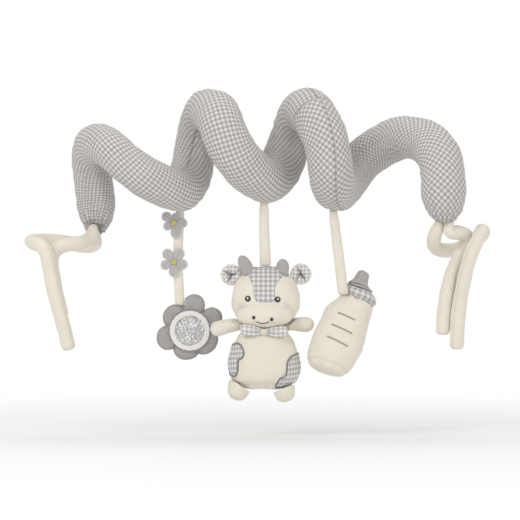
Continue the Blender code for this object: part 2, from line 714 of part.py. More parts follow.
def make_cow(strap_pivot):
    mesh = leaning(strap(COW_STRAP_LENGTH), COW_STRAP_LENGTH, COW_STRAP_ASIDE, 0)
    node("cow_strap", mesh, CREAM, strap_pivot)
    pivot = pivot_at("cow_pivot", (COW_STRAP_ASIDE, 0, -COW_STRAP_LENGTH), strap_pivot)
    top = -STRAP_THICKNESS / 2 - CLEARANCE - APPLIQUE - CLEARANCE
    head = shifted(stuffed(HEAD_WIDTH, HEAD_DEPTH, HEAD_HEIGHT, HEAD_SHARES), z=top - HEAD_HEIGHT)
    body_low = top - BODY_DROP - BODY_HEIGHT
    whole_body = shifted(stuffed(BODY_WIDTH, BODY_DEPTH, BODY_HEIGHT, BODY_SHARES), BODY_ASIDE, 0, body_low)
    body = seated(whole_body, [head])
    node("cow_head", head, CREAM, pivot)
    node("cow_body", body, CREAM, pivot)

    x, y, z = MUZZLE_PLACE
    width, depth, height = MUZZLE_SIZE
    whole_muzzle = shifted(stuffed(width, depth, height, BALL_SHARES, 20, 1), x, y, z + top)
    muzzle = seated(whole_muzzle, [head, body])
    node("cow_muzzle", muzzle, CREAM, pivot)

    middle = top - HEAD_HEIGHT / 2
    panel = shaped(PANEL_SHARES, HEAD_WIDTH / 2, HEAD_HEIGHT / 2, 0, middle)
    panel_room = room_for(head, panel)
    node("cow_forehead_panel", applied(head, panel), GINGHAM, pivot)
    for side, sign in (("left", -1), ("right", 1)):
        eye = disc_outline(FACE_ASIDE + sign * EYE_APART / 2, top - EYE_DROP, EYE_RADIUS)
        node(f"cow_{side}_eye", applied(head, eye, STITCH_RISE), THREAD, pivot)
        spot = disc_outline(FACE_ASIDE + sign * NOSTRIL_APART / 2, top - NOSTRIL_DROP, NOSTRIL_RADIUS, 12)
        node(f"cow_{side}_nostril", applied(whole_muzzle, spot, STITCH_RISE, y), THREAD, pivot)
    smile = arc_outline(FACE_ASIDE, top - SMILE_DROP, SMILE_WIDTH, SMILE_SAG, SMILE_STROKE)
    node("cow_smile", applied(whole_muzzle, smile, STITCH_RISE, y), THREAD, pivot)

    for name, (x, z) in EAR_PLACES.items():
        node(f"cow_{name}", seated(shifted(ear_form(), x, 0, z + top), [head]), GINGHAM, pivot)
    for name, (x, z) in HORN_ROOTS.items():
        horn = stuffed(HORN_WIDTH, HORN_WIDTH / 2, HORN_LENGTH, HORN_SHARES, 12, 1)
        horn = aimed(horn, (x, 0, z + top), (HORN_LEANS[name], 0, 1))
        node(f"cow_{name}", seated(horn, [head], covers=[panel_room]), GREY, pivot)

    width, depth, height = BOW_SIZE
    bow = stuffed(height, depth, width, BOW_SHARES, 14, 1)
    bow.transform(Matrix.Translation((-width / 2, 0, 0)) @ Matrix.Rotation(math.pi / 2, 4, "Y"))
    x, y, z = BOW_PLACE
    bow = seated(shifted(bow, x, y, z + top), [head, body, muzzle])
    node("cow_bow", bow, GINGHAM, pivot)
    knot = stuffed(KNOT_RADIUS * 2, KNOT_RADIUS * 2, KNOT_RADIUS * 2, BALL_SHARES, 12, 1)
    knot = shifted(knot, x, y - KNOT_RADIUS / 2, z + top - KNOT_RADIUS)
    node("cow_bow_knot", seated(knot, [bow, body, muzzle, head]), CREAM, pivot)

    centre = body_low + BODY_HEIGHT / 2
    patch_rooms = []
    for name, shares in (("left_patch", LEFT_PATCH_SHARES), ("right_patch", RIGHT_PATCH_SHARES)):
        outline = shaped(shares, BODY_WIDTH / 2, BODY_HEIGHT / 2, BODY_ASIDE, centre)
        patch_rooms.append(room_for(whole_body, outline))
        node(f"cow_{name}", applied(whole_body, outline), GINGHAM, pivot)

    for name, place in SHOULDERS.items():
        arm = stuffed(ARM_WIDTH, ARM_WIDTH, ARM_LENGTH, ARM_SHARES, 16, 1)
        shoulder = Vector(place) + Vector((0, 0, top))
        way = Vector(ARM_WAYS[name]).normalized()
        arm = aimed(arm, shoulder - way * ARM_WIDTH / 2, way)
        limits = ARM_FLAP if name == "left_arm" else [-a for a in ARM_FLAP]
        arm = seated(arm, [whole_body, head, whole_muzzle], shoulder, "Z", steps_between(limits, 4))
        node(f"cow_{name}", shifted(arm, *-shoulder), CREAM, pivot_at(f"cow_{name}_pivot", shoulder, pivot))
    for name, place in HIPS.items():
        leg = stuffed(LEG_WIDTH, LEG_WIDTH, LEG_LENGTH, LEG_SHARES, 18, 1)
        hip = Vector(place) + Vector((0, 0, top))
        way = Vector(LEG_WAYS[name]).normalized()
        leg = aimed(leg, hip - way * LEG_WIDTH / 4, way)
        leg = seated(leg, [whole_body], hip, "X", steps_between(LEG_FLAP, 5), patch_rooms)
        node(f"cow_{name}", shifted(leg, *-hip), CREAM, pivot_at(f"cow_{name}_pivot", hip, pivot))


# The bottle. It is built upright on its base and then leans right and back.

BOTTLE_SETBACK = -0.002
BOTTLE_DEPTH_SHARE = 0.82
BOTTLE_LEAN = math.radians(19.5)
BOTTLE_TIP_BACK = math.radians(16)
BOTTLE_STRAP_ASIDE = 0.0085
BOTTLE_STRAP_FORWARD = 0.006
BASE_FROM_STRAP = (-0.0167, -0.0090, -0.0718)
BOTTLE_SHARES = (
    (0, 0), (0.0, 0.30), (0.005, 0.52), (0.04, 0.78), (0.14, 0.95), (0.30, 1.0), (0.50, 0.99),
    (0.70, 0.93), (0.86, 0.87), (0.95, 0.84), (0.995, 0.78), (1.0, 0.5), (1, 0),
)
RING_BAND_WIDTH = 0.0400
RING_BAND_HEIGHT = 0.0100
RING_BAND_SHARES = (
    (0, 0), (0.0, 0.5), (0.03, 0.88), (0.25, 1.0), (0.55, 0.97), (0.82, 0.82), (0.97, 0.62),
    (1.0, 0.4), (1, 0),
)
COLLAR_WIDTH = 0.0236
COLLAR_HEIGHT = 0.0022
TEAT_WIDTH = 0.0150
TEAT_HEIGHT = 0.0155
TEAT_SHARES = (
    (0, 0), (0.0, 0.6), (0.02, 1.0), (0.1, 0.98), (0.3, 0.84), (0.6, 0.82), (0.8, 0.78),
    (0.94, 0.5), (1, 0),
)
MARK_HEIGHTS = (0.0277, 0.0403, 0.0530)
MARK_LENGTHS = (0.0210, 0.0206, 0.0173)
MARK_STROKE = 0.0012


def make_bottle(strap_pivot):
    mesh = leaning(strap(BOTTLE_STRAP_LENGTH), BOTTLE_STRAP_LENGTH, BOTTLE_STRAP_ASIDE, BOTTLE_STRAP_FORWARD)
    node("bottle_strap", mesh, CREAM, strap_pivot)
    place = (BOTTLE_STRAP_ASIDE, -BOTTLE_STRAP_FORWARD, -BOTTLE_STRAP_LENGTH)
    pivot = pivot_at("bottle_pivot", place, strap_pivot)
    strap_end = shifted(mesh, *-Vector(place))
    stand = (
        Matrix.Translation(BASE_FROM_STRAP) @ Matrix.Rotation(-BOTTLE_TIP_BACK, 4, "X")
        @ Matrix.Rotation(BOTTLE_LEAN, 4, "Y")
    )
    turns = steps_between(BOTTLE_TWIST, 5)
    share = BOTTLE_DEPTH_SHARE
    body = stuffed(BOTTLE_WIDTH, BOTTLE_WIDTH * share, BOTTLE_LENGTH, BOTTLE_SHARES, 24, 1)
    for name, height, length in zip(("low", "middle", "high"), MARK_HEIGHTS, MARK_LENGTHS):
        half, stroke = length / 2, MARK_STROKE / 2
        outline = [(-half, height - stroke), (half, height - stroke), (half, height + stroke),
                   (-half, height + stroke)]
        node(f"bottle_{name}_mark", moved(applied(body, outline, STITCH_RISE), stand), GREY, pivot)
    top = BOTTLE_LENGTH + CLEARANCE
    band = shifted(stuffed(RING_BAND_WIDTH, RING_BAND_WIDTH * share, RING_BAND_HEIGHT, RING_BAND_SHARES, 24, 1), z=top)
    top += RING_BAND_HEIGHT + CLEARANCE
    half = COLLAR_WIDTH / 2
    collar = turned([(0, COLLAR_HEIGHT), (half - FELT / 2, COLLAR_HEIGHT), (half, COLLAR_HEIGHT / 2),
                     (half - FELT / 2, 0), (0, 0)])
    collar.transform(Matrix.Translation((0, 0, top)) @ Matrix.Diagonal((1, share, 1, 1)))
    top += COLLAR_HEIGHT + CLEARANCE
    teat = shifted(stuffed(TEAT_WIDTH, TEAT_WIDTH, TEAT_HEIGHT, TEAT_SHARES, 16, 1), z=top)
    for name, form, colour in (
        ("bottle_body", body, CREAM), ("bottle_ring", band, GINGHAM),
        ("bottle_collar", collar, GREY), ("bottle_teat", teat, GREY),
    ):
        form = seated(moved(form, stand), [strap_end], (0, 0, 0), "Z", turns)
        node(name, form, colour, pivot)


def main():
    tube_line, skin = make_tube()
    make_ties(tube_line)
    make_flower(pivot_at("flower_strap_pivot", strap_seam(skin, 0.5, FLOWER_SETBACK)))
    make_cow(pivot_at("cow_strap_pivot", strap_seam(skin, 1.5, COW_SETBACK)))
    make_bottle(pivot_at("bottle_strap_pivot", strap_seam(skin, 2.5, BOTTLE_SETBACK)))


clear_scene()
parts = collection("activity_spiral")
bench = collection("cutters")
main()
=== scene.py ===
import json
import math

import bmesh
import bpy
import numpy as np
from mathutils import Matrix, Vector


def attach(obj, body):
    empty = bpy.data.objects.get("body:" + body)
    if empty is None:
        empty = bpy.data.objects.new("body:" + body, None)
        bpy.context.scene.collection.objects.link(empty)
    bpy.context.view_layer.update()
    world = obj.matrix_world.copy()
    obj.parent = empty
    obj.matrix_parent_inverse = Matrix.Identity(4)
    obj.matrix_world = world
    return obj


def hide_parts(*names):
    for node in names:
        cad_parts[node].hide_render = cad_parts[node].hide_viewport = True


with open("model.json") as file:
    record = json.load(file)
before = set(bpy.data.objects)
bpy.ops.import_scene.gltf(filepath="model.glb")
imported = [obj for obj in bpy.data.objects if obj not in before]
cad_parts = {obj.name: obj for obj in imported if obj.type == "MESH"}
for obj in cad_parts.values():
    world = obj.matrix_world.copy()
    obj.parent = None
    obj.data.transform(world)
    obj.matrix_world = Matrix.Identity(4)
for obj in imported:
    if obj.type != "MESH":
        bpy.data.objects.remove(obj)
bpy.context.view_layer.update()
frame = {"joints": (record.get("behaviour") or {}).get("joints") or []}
scene = bpy.context.scene
hinges = {joint["name"]: np.array(joint["pos_m"]) for joint in frame["joints"]}
turnsOf = {joint["name"]: joint["range_deg"] for joint in frame["joints"]}
print("frame loaded")


def placed(name, data):
    made = bpy.data.objects.new(name, data)
    scene.collection.objects.link(made)
    return made


# camera, a long lens straight in front
view = {"centre": (0.00135, 0, -0.1035), "width": 0.468, "distance": 4.5, "elevation": 1.5, "sensor": 36}


def placeCamera():
    data = bpy.data.cameras.new("camera")
    data.sensor_width = view["sensor"]
    data.lens = view["sensor"] * view["distance"] / view["width"]
    data.clip_end = 30
    camera = placed("camera", data)
    up = math.radians(view["elevation"])
    away = Vector((0, -math.cos(up), math.sin(up))) * view["distance"]
    camera.location = Vector(view["centre"]) + away
    camera.rotation_euler = (-away).to_track_quat("-Z", "Y").to_euler()
    scene.camera = camera


placeCamera()


# smooth lines and values

# a cubic through the knots that never overshoots: Hermite pieces with harmonic mean slopes
def monotone(knots, values, wanted):
    step = np.diff(knots)
    slope = np.diff(values) / step
    tangent = np.concatenate([slope[:1], np.zeros(len(slope) - 1), slope[-1:]])
    same = slope[:-1] * slope[1:] > 0
    before, after = 2 * step[1:] + step[:-1], step[1:] + 2 * step[:-1]
    safe = np.where(same, slope[:-1], 1), np.where(same, slope[1:], 1)
    tangent[1:-1] = np.where(same, (before + after) / (before / safe[0] + after / safe[1]), 0)
    span = np.clip(np.searchsorted(knots, wanted) - 1, 0, len(knots) - 2)
    h = step[span]
    t = (wanted - knots[span]) / h
    return (
        (2 * t ** 3 - 3 * t ** 2 + 1) * values[span] + (t ** 3 - 2 * t ** 2 + t) * h * tangent[span]
        + (3 * t ** 2 - 2 * t ** 3) * values[span + 1] + (t ** 3 - t ** 2) * h * tangent[span + 1]
    )


# a Catmull-Rom curve through the points
def through(points, perSpan, closed=False):
    points = np.asarray(points, float)
    if closed:
        ring = np.vstack([points[-1:], points, points[:2]])
    else:
        ring = np.vstack([2 * points[0] - points[1], points, 2 * points[-1] - points[-2]])
    a, b, c, d = (ring[i:len(ring) - 3 + i, None] for i in range(4))
    t = (np.arange(perSpan) / perSpan)[None, :, None]
    line = (2 * b + (c - a) * t + (2 * a - 5 * b + 4 * c - d) * t ** 2
            + (3 * b - a - 3 * c + d) * t ** 3) / 2
    line = line.reshape(-1, points.shape[1])
    return line if closed else np.vstack([line, points[-1]])


def lengthsAlong(line):
    return np.concatenate([[0], np.cumsum(np.linalg.norm(np.diff(line, axis=0), axis=1))])


def readAt(line, along, wanted):
    return np.stack([np.interp(wanted, along, axis) for axis in line.T], axis=-1)


def unit(vectors):
    return vectors / (np.linalg.norm(vectors, axis=-1, keepdims=True) + 1e-12)


# the angles of a full circle, the last one short of the first
def circle(count):
    return np.arange(count) / count * 2 * math.pi


# lumps between about -1 and 1: a mean of sine waves in seeded directions, about size long
def lumps(points, size, seed):
    count = 16
    rng = np.random.default_rng(seed)
    ways = unit(rng.normal(size=(count, 3))) * (2 * math.pi / size * rng.uniform(0.6, 1.5, (count, 1)))
    return np.sin(points @ ways.T + rng.uniform(0, 2 * math.pi, count)).sum(-1) / math.sqrt(count / 2) / 2


# a smooth step from 0 at low to 1 at high
def smoothStep(low, high, value):
    t = np.clip((value - low) / (high - low), 0, 1)
    return t * t * (3 - 2 * t)


# a bell that is 1 where the value is 0 and 0.37 at the width
def bell(value, width):
    return np.exp(-(value / width) ** 2)


# a wave made rounder or squarer by a power, its sign kept
def blunt(wave, power):
    return np.sign(wave) * np.abs(wave) ** power


# surfaces: a grid of points, rows along it and columns round it, is closed by two poles

# the grid with its first column once more at the end
def wrapped(grid):
    return np.concatenate([grid, grid[:, :1]], axis=1)


# points at a reach and an angle in the plane that faces the front, y behind it
def polar(reach, angle, y=0.0):
    x = reach * np.cos(angle)
    return np.stack([x, y + 0 * x, reach * np.sin(angle)], axis=-1)


# cloth cut flat as it is seen from the front
def seenFlat(points):
    return wrapped(points)[..., [0, 2]]


# cloth wound once round, as wide as said, that runs along the rows
def woundCloth(columns, width, along):
    return np.stack(np.meshgrid(np.arange(columns + 1) / columns * width, along), axis=-1)


# normals of a grid: across the columns times along the rows, turned to point outwards
def gridNormals(points):
    across = np.roll(points, -1, axis=1) - np.roll(points, 1, axis=1)
    normals = unit(np.cross(across, np.gradient(points, axis=0)))
    outward = points - points.mean(axis=1, keepdims=True)
    return normals * (1 if (normals * outward).sum() > 0 else -1)


def raised(points, lift):
    return points + gridNormals(points) * lift[..., None]


# the four corners of each square of a grid
def squares(grid):
    return np.stack([grid[:-1, :-1], grid[:-1, 1:], grid[1:, 1:], grid[1:, :-1]], axis=2)


# a closed mesh from a grid. cloth is each corner's place on the flat cloth, one column more than
# the points, since the cloth is cut there. tints are values for each point, kept as attributes.
# In a welded one the last ring is the first again: the two become one and the poles go
# the seam tint is painted shade: it darkens seams, creases and fold troughs
def closedMesh(name, points, cloth, welded=False, **tints):
    rows, columns = points.shape[:2]
    index = wrapped(np.arange(rows * columns).reshape(rows, columns))
    faces = squares(index).reshape(-1, 4).tolist()
    places, flat = [points.reshape(-1, 3)], [squares(cloth).reshape(-1, 2)]
    for number, end in enumerate((0, -1)):
        ring, rim, tip = index[end], cloth[end], rows * columns + number
        places.append(points[end].mean(axis=0)[None])
        faces += np.column_stack([ring[:-1], ring[1:], np.full(columns, tip)]).tolist()
        middle = np.repeat(rim.mean(axis=0)[None], columns, axis=0)
        flat.append(np.stack([rim[:-1], rim[1:], middle], 1).reshape(-1, 2))
    mesh = bpy.data.meshes.new(name)
    mesh.from_pydata(np.vstack(places).tolist(), [], faces)
    layer = mesh.uv_layers.new(name="cloth")
    layer.data.foreach_set("uv", np.vstack(flat).astype(np.float32).ravel())
    for tint, values in tints.items():
        values = np.broadcast_to(values, (rows, columns))
        ends = [values[0].mean(), values[-1].mean()]
        attribute = mesh.attributes.new(tint, "FLOAT", "POINT")
        attribute.data.foreach_set("value", np.concatenate([values.ravel(), ends]).astype(np.float32))
    mesh.shade_smooth()
    work = bmesh.new()
    work.from_mesh(mesh)
    if welded:
        work.verts.ensure_lookup_table()
        bmesh.ops.delete(work, geom=work.verts[-2:], context="VERTS")
        bmesh.ops.remove_doubles(work, verts=work.verts, dist=0.000001)
    bmesh.ops.recalc_face_normals(work, faces=work.faces)
    work.to_mesh(mesh)
    work.free()
    return mesh


# one piece of the object: its mesh in place, what it rides on, its finish, and the CAD nodes it stands
# for. slot is not used. fill, how full a padded one is, is not used, and extra is a second finish
def addPiece(mesh, body, finish, slot, *stands, fill=None, extra=()):
    made = placed(mesh.name, mesh)
    for one in (finish, *extra):
        mesh.materials.append(one)
    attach(made, body)
    if stands:
        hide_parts(*stands)
    return made


def coordsOf(mesh):
    flat = np.empty(len(mesh.vertices) * 3, np.float32)
    mesh.vertices.foreach_get("co", flat)
    return flat.reshape(-1, 3).astype(float)


def setCoords(mesh, coords):
    mesh.vertices.foreach_set("co", np.ascontiguousarray(coords, np.float32).ravel())
    mesh.update()


# blows a closed cloth form up between the points that are held, in Blender's own simulation, at a
# larger size because the solver is made for big things. held is a grid of shares, and the given
# number of rings at each end is held too. No point moves further than the limit
blowing = {"size": 14, "frames": 16, "levels": (0.25, 0.5, 0.75, 1.0)}


def blowUp(mesh, held, ends, pressure=3.0, limit=0.0008):
    start, shape = coordsOf(mesh), (*held.shape, 3)
    held = np.clip(held, 0, 1)
    held[:ends] = held[-ends:] = 1
    held = np.append(held.ravel(), (1, 1))
    setCoords(mesh, start * blowing["size"])
    made = placed("blown", mesh)
    group = made.vertex_groups.new(name="held")
    for level in blowing["levels"]:
        chosen = np.flatnonzero((held > level - 0.125) & (held <= level + 0.125))
        if len(chosen):
            group.add(chosen.tolist(), level, "REPLACE")
    cloth = made.modifiers.new("cloth", "CLOTH")
    cloth.settings.vertex_group_mass = "held"
    cloth.settings.use_pressure = True
    cloth.settings.uniform_pressure_force = pressure
    cloth.settings.quality = 4
    cloth.settings.mass = 0.3
    cloth.settings.tension_stiffness = 12
    cloth.settings.bending_stiffness = 0.2
    cloth.settings.shrink_min = -0.03
    cloth.settings.effector_weights.gravity = 0
    for number in range(1, blowing["frames"] + 1):
        scene.frame_set(number)
    blown = made.evaluated_get(bpy.context.evaluated_depsgraph_get())
    move = coordsOf(blown.data) / blowing["size"] - start
    far = np.linalg.norm(move, axis=1, keepdims=True)
    move *= np.minimum(1, limit / np.maximum(far, 1e-9))
    scene.frame_set(1)
    bpy.data.objects.remove(made, do_unlink=True)
    setCoords(mesh, start + np.nan_to_num(move))
    return coordsOf(mesh)[:-2].reshape(shape)


# pushes points out of skins, which are read at every second point: a point near one that is behind
# the tangent plane at its nearest point moves out on that point's normal until the gap is left.
# The origin is where the points' own zero is, for points that aren't placed yet
def keptClear(points, skins, gap, origin=0, reach=0.012):
    flat = points.reshape(-1, 3).copy()
    for skin in skins:
        places = (skin.points[::2, ::2] - origin).reshape(-1, 3)
        normals = skin.normals[::2, ::2].reshape(-1, 3)
        for first in range(0, len(flat), 400):
            part = flat[first:first + 400]
            near = ((part[:, None] - places[None]) ** 2).sum(-1).argmin(axis=1)
            depth = ((part - places[near]) * normals[near]).sum(-1, keepdims=True)
            close = np.linalg.norm(part - places[near], axis=-1, keepdims=True) < reach
            part += normals[near] * np.maximum(gap - depth, 0) * close
    return flat.reshape(points.shape)


# how far each point has to go one way to be out of the skins at every turn of its hinge
def wayOut(points, way, skins, hinge, turns, step=0.0003, most=110):
    move = np.zeros(points.shape[:-1])
    for _ in range(most):
        moved = points + way * move[..., None]
        held = np.zeros(move.shape, bool)
        for turn in turns:
            turned = (moved - hinge) @ turn.T + hinge
            for skin in skins:
                held |= skin.holds(turned)
        if not held.any():
            break
        move[held] += step
    return move


def meanOf(grids):
    return sum(grids) / len(grids)


# each value of a grid joined with the two beside it, round the columns and then along the rows
def joined(grid, join):
    grid = join([grid, np.roll(grid, 1, axis=1), np.roll(grid, -1, axis=1)])
    grid[1:-1] = join([grid[1:-1], grid[2:], grid[:-2]])
    return grid


# draws points out of the skins along one way, and rounds the corner that this leaves: where a point
# moved, and a few columns and rings past it, each goes part of the way to its neighbours' mean
def drawnOut(points, way, skins, hinge, axis, angles):
    turns = [np.array(Matrix.Rotation(math.radians(angle), 3, axis)) for angle in angles]
    move = wayOut(points, way, skins, hinge, turns)
    for _ in range(5):
        move = np.maximum(move, joined(move, meanOf))
    points = points + way * move[..., None]
    soft = (move > 0.0002) * 1.0
    for _ in range(7):
        soft = joined(soft, np.maximum.reduce)
    for _ in range(4):
        soft = joined(soft, meanOf)
    for _ in range(40):
        beside = np.roll(points, 1, axis=1), np.roll(points, -1, axis=1)
        mean = (meanOf(beside)[1:-1] + meanOf((points[2:], points[:-2]))) / 2
        points[1:-1] += soft[1:-1, :, None] * 0.6 * (mean - points[1:-1])
    return points + way * wayOut(points, way, skins, hinge, turns)[..., None]


def laid(points, matrix):
    matrix = np.array(matrix)
    return points @ matrix[:3, :3].T + matrix[:3, 3]


# rings of a stuffed form that stands on Z: at each height the half width is the outline's share,
# x = width/2 share sin(angle), y = -depth/2 share cos(angle), with the angle 0 in front
def stuffedRings(width, depth, height, shares, rings, columns):
    line = through(shares, 12)
    z, r = line[:, 0], np.maximum(line[:, 1], 0)
    along = lengthsAlong(np.column_stack([r * (width + depth) / 4, z * height]))
    wanted = np.linspace(0, along[-1], rings + 2)[1:-1]
    z, r = np.interp(wanted, along, z)[:, None], np.interp(wanted, along, r)[:, None]
    angle = circle(columns) - math.pi
    points = np.stack([
        width / 2 * r * np.sin(angle), -depth / 2 * r * np.cos(angle), z * height + 0 * angle,
    ], axis=-1)
    across = np.append(angle, math.pi) * (width + depth) / 4
    return points, np.stack(np.meshgrid(across, wanted), axis=-1), angle, z


# where a stuffed form's two halves are sewn together, left and right
def sideSeam(angle, width):
    return bell(np.abs(angle) - math.pi / 2, width)[None]


# a skin that can be read anywhere between its rings and columns, to sew things on to it
class Skin:
    def __init__(self, points):
        self.points = points
        self.normals = gridNormals(points)
        self.heights = np.maximum.accumulate(points[..., 2].mean(axis=1))
        self.middles = points[..., :2].mean(axis=1)
        off = points[..., :2] - self.middles[:, None]
        around = np.arctan2(off[..., 0], -off[..., 1])
        even = circle(180) - math.pi
        reach = np.linalg.norm(off, axis=-1)
        self.reach = np.array([np.interp(even, a, r, period=2 * math.pi) for a, r in zip(around, reach)])

    # whether points are within the skin: nearer to its axis than the ring at their height
    def holds(self, points):
        rows = np.arange(len(self.heights))
        row = np.interp(points[..., 2], self.heights, rows)
        off = points[..., :2] - readAt(self.middles, rows, row)
        reach = self.read(self.reach[..., None], row, np.arctan2(off[..., 0], -off[..., 1]))[..., 0]
        level = (points[..., 2] > self.heights[0]) & (points[..., 2] < self.heights[-1])
        return level & (np.linalg.norm(off, axis=-1) < reach)

    def grown(self, lift):
        return Skin(self.points + self.normals * lift)

    # grid values at rows and angles by mixing the four nearest
    def read(self, grid, row, angle):
        rows, columns = grid.shape[:2]
        row = np.clip(row, 0, rows - 1.001)
        column = (angle / (2 * math.pi) + 0.5) % 1 * columns
        i, j = np.floor(row).astype(int), np.floor(column).astype(int) % columns
        s, t = (row - i)[..., None], (column - np.floor(column))[..., None]
        k = (j + 1) % columns
        upper = grid[i + 1, j] * (1 - t) + grid[i + 1, k] * t
        return (grid[i, j] * (1 - t) + grid[i, k] * t) * (1 - s) + upper * s

    def at(self, row, angle, lift=0):
        lift = np.asarray(lift)[..., None]
        return self.read(self.points, row, angle) + unit(self.read(self.normals, row, angle)) * lift

    # the row and angle on the front that are seen at x and z, by Newton's steps. A place above the
    # outline gets the row of the outline's edge there, and an angle at the side
    def facing(self, x, z):
        x, z = np.asarray(x, float), np.asarray(z, float)
        wide = np.ptp(self.points[..., 0], axis=1) / 2
        off = np.minimum(np.abs(x[:, None] - self.middles[None, :, 0]), wide.max() * 0.8)
        fits = wide[None] * 0.975 >= off
        last = len(wide) - 1 - fits[:, ::-1].argmax(axis=1)
        above = z > self.heights[last]
        step = wide[last] - wide[np.minimum(last + 1, len(wide) - 1)]
        past = wide[last] - off[np.arange(len(x)), last] / 0.975
        brow = last + np.clip(past / np.maximum(step, 1e-6), 0, 1)
        side = np.sign(x - self.middles[last, 0]) * 1.5
        z = np.minimum(z, self.heights[last])
        row = np.interp(z, self.heights, np.arange(len(wide)))
        near = np.round(row).astype(int)
        middle, most = self.middles[near, 0], wide[near] * 0.97
        x = middle + np.clip(x - middle, -most, most)
        angle = np.arcsin((x - middle) / wide[near])
        for _ in range(14):
            here = self.read(self.points, row, angle)
            slopeX = (self.read(self.points, row, angle + 0.02) - here)[..., 0] / 0.02
            slopeZ = (self.read(self.points, row + 0.5, angle) - here)[..., 2] / 0.5
            turn = np.clip((x - here[..., 0]) / np.maximum(slopeX, 0.003), -0.1, 0.1)
            angle = np.clip(angle + turn, -1.5, 1.5)
            row = row + np.clip((z - here[..., 2]) / np.maximum(slopeZ, 0.0001), -2, 2)
        return np.where(above, brow, row), np.where(above, side, angle)


# a satin stitch or a sewn line on a skin: a half round bar along rows and angles, its ends drawn in
def stitched(skin, rows, angles, width, height, closed=False):
    sides = 10
    centre = skin.at(rows, angles)
    normal = unit(skin.read(skin.normals, rows, angles))
    order = np.arange(len(centre))
    if closed:
        way = unit(np.roll(centre, -1, axis=0) - np.roll(centre, 1, axis=0))
        size = np.ones((len(centre), 1))
    else:
        way = unit(np.gradient(centre, axis=0))
        share = np.minimum(np.minimum(order, order[::-1]) / 3, 1)
        size = np.sqrt(np.clip(1 - (1 - share) ** 2, 0.1, 1))[:, None]
    around = circle(sides)
    rise = np.maximum(np.sin(around), 0.4 * np.sin(around)) * height * size
    aside = np.cos(around) * width / 2 * size
    points = centre[:, None] + np.cross(way, normal)[:, None] * aside[..., None]
    points = points + normal[:, None] * rise[..., None]
    cloth = woundCloth(sides, width * 2, lengthsAlong(centre))
    if closed:
        points = np.concatenate([points, points[:1]])
        cloth = np.concatenate([cloth, cloth[-1:] + (0, np.linalg.norm(centre[-1] - centre[0]))])
    return points, cloth


# materials

# a socket whose sums become Math nodes
class Wire:
    def __init__(self, nodes, socket):
        self.nodes, self.socket = nodes, socket

    def math(self, operation, *others):
        return self.nodes.add("ShaderNodeMath", {"operation": operation}, dict(enumerate((self, *others))))

    def __add__(self, other):
        return self.math("ADD", other)

    __radd__ = __add__

    def __sub__(self, other):
        return self.math("SUBTRACT", other)

    def __rsub__(self, other):
        return self.nodes.add("ShaderNodeMath", {"operation": "SUBTRACT"}, {0: other, 1: self})

    def __mul__(self, other):
        return self.math("MULTIPLY", other)

    def __truediv__(self, other):
        return self.math("DIVIDE", other)

    def __pow__(self, other):
        return self.math("POWER", other)

    def sine(self):
        return self.math("SINE")

    def limited(self):
        return self.nodes.add("ShaderNodeClamp", {}, {0: self})

    # another output of the same node
    def beside(self, key):
        return Wire(self.nodes, self.socket.node.outputs[key])


# nodes of one tree: add() makes any node, with its settings and what its sockets get
class Nodes:
    def __init__(self, tree):
        self.tree = tree

    def add(self, kind, settings=None, sockets=None, output=0):
        made = self.tree.nodes.new(kind)
        for key, value in (settings or {}).items():
            if key == "stops":
                stops = made.color_ramp.elements
                for number, (place, colour) in enumerate(value):
                    stop = stops[number] if number < 2 else stops.new(place)
                    stop.position, stop.color = place, (*colour, 1)
            else:
                setattr(made, key, value)
        for key, value in (sockets or {}).items():
            if isinstance(value, Wire):
                self.tree.links.new(value.socket, made.inputs[key])
            elif isinstance(value, tuple) and len(value) == 3 and made.inputs[key].type == "RGBA":
                made.inputs[key].default_value = (*value, 1)
            else:
                made.inputs[key].default_value = value
        return Wire(self, made.outputs[output])

    def greater(self, one, other):
        return self.add("ShaderNodeMath", {"operation": "MAXIMUM"}, {0: one, 1: other})


# one material: constants go straight on its surface's sockets
class Finish(Nodes):
    def __init__(self, name, **constants):
        self.material = bpy.data.materials.new(name)
        self.material.use_nodes = True
        super().__init__(self.material.node_tree)
        self.surface = self.tree.nodes["Principled BSDF"]
        for socket, value in constants.items():
            self.surface.inputs[socket.replace("_", " ")].default_value = value

    def feed(self, socket, wire):
        self.tree.links.new(wire.socket, self.surface.inputs[socket])

    def mixed(self, share, one, other):
        return self.add("ShaderNodeMix", {"data_type": "RGBA"}, {0: share, 6: one, 7: other}, 2)

    def place(self):
        return self.add("ShaderNodeTexCoord", output=3)

    # across and down on the flat cloth
    def onCloth(self):
        spot = self.add("ShaderNodeUVMap", {"uv_map": "cloth"})
        across = self.add("ShaderNodeSeparateXYZ", {}, {0: spot})
        return across, across.beside(1)

    def noise(self, scale, detail=3, roughness=0.55):
        sockets = {"Vector": self.place(), "Scale": scale, "Detail": detail, "Roughness": roughness}
        return self.add("ShaderNodeTexNoise", {}, sockets)

    def tint(self, name):
        return self.add("ShaderNodeAttribute", {"attribute_name": name}, output=2)

    # painted shade: the tone darkened where the mesh's seam tint marks seams, creases and folds
    def shadedInSeams(self, tone, strength, paintedShade):
        return self.mixed((self.tint("seam") * strength).limited(), tone, paintedShade)

    def bump(self, height, distance, strength, under=None):
        sockets = {"Height": height, "Distance": distance, "Strength": strength}
        if under is not None:
            sockets["Normal"] = under
        return self.add("ShaderNodeBump", {}, sockets)

    def done(self, tone, bump):
        self.feed("Base Color", tone)
        self.feed("Normal", bump)
        return self.material


def darker(colour, share):
    return tuple(c * share for c in colour)
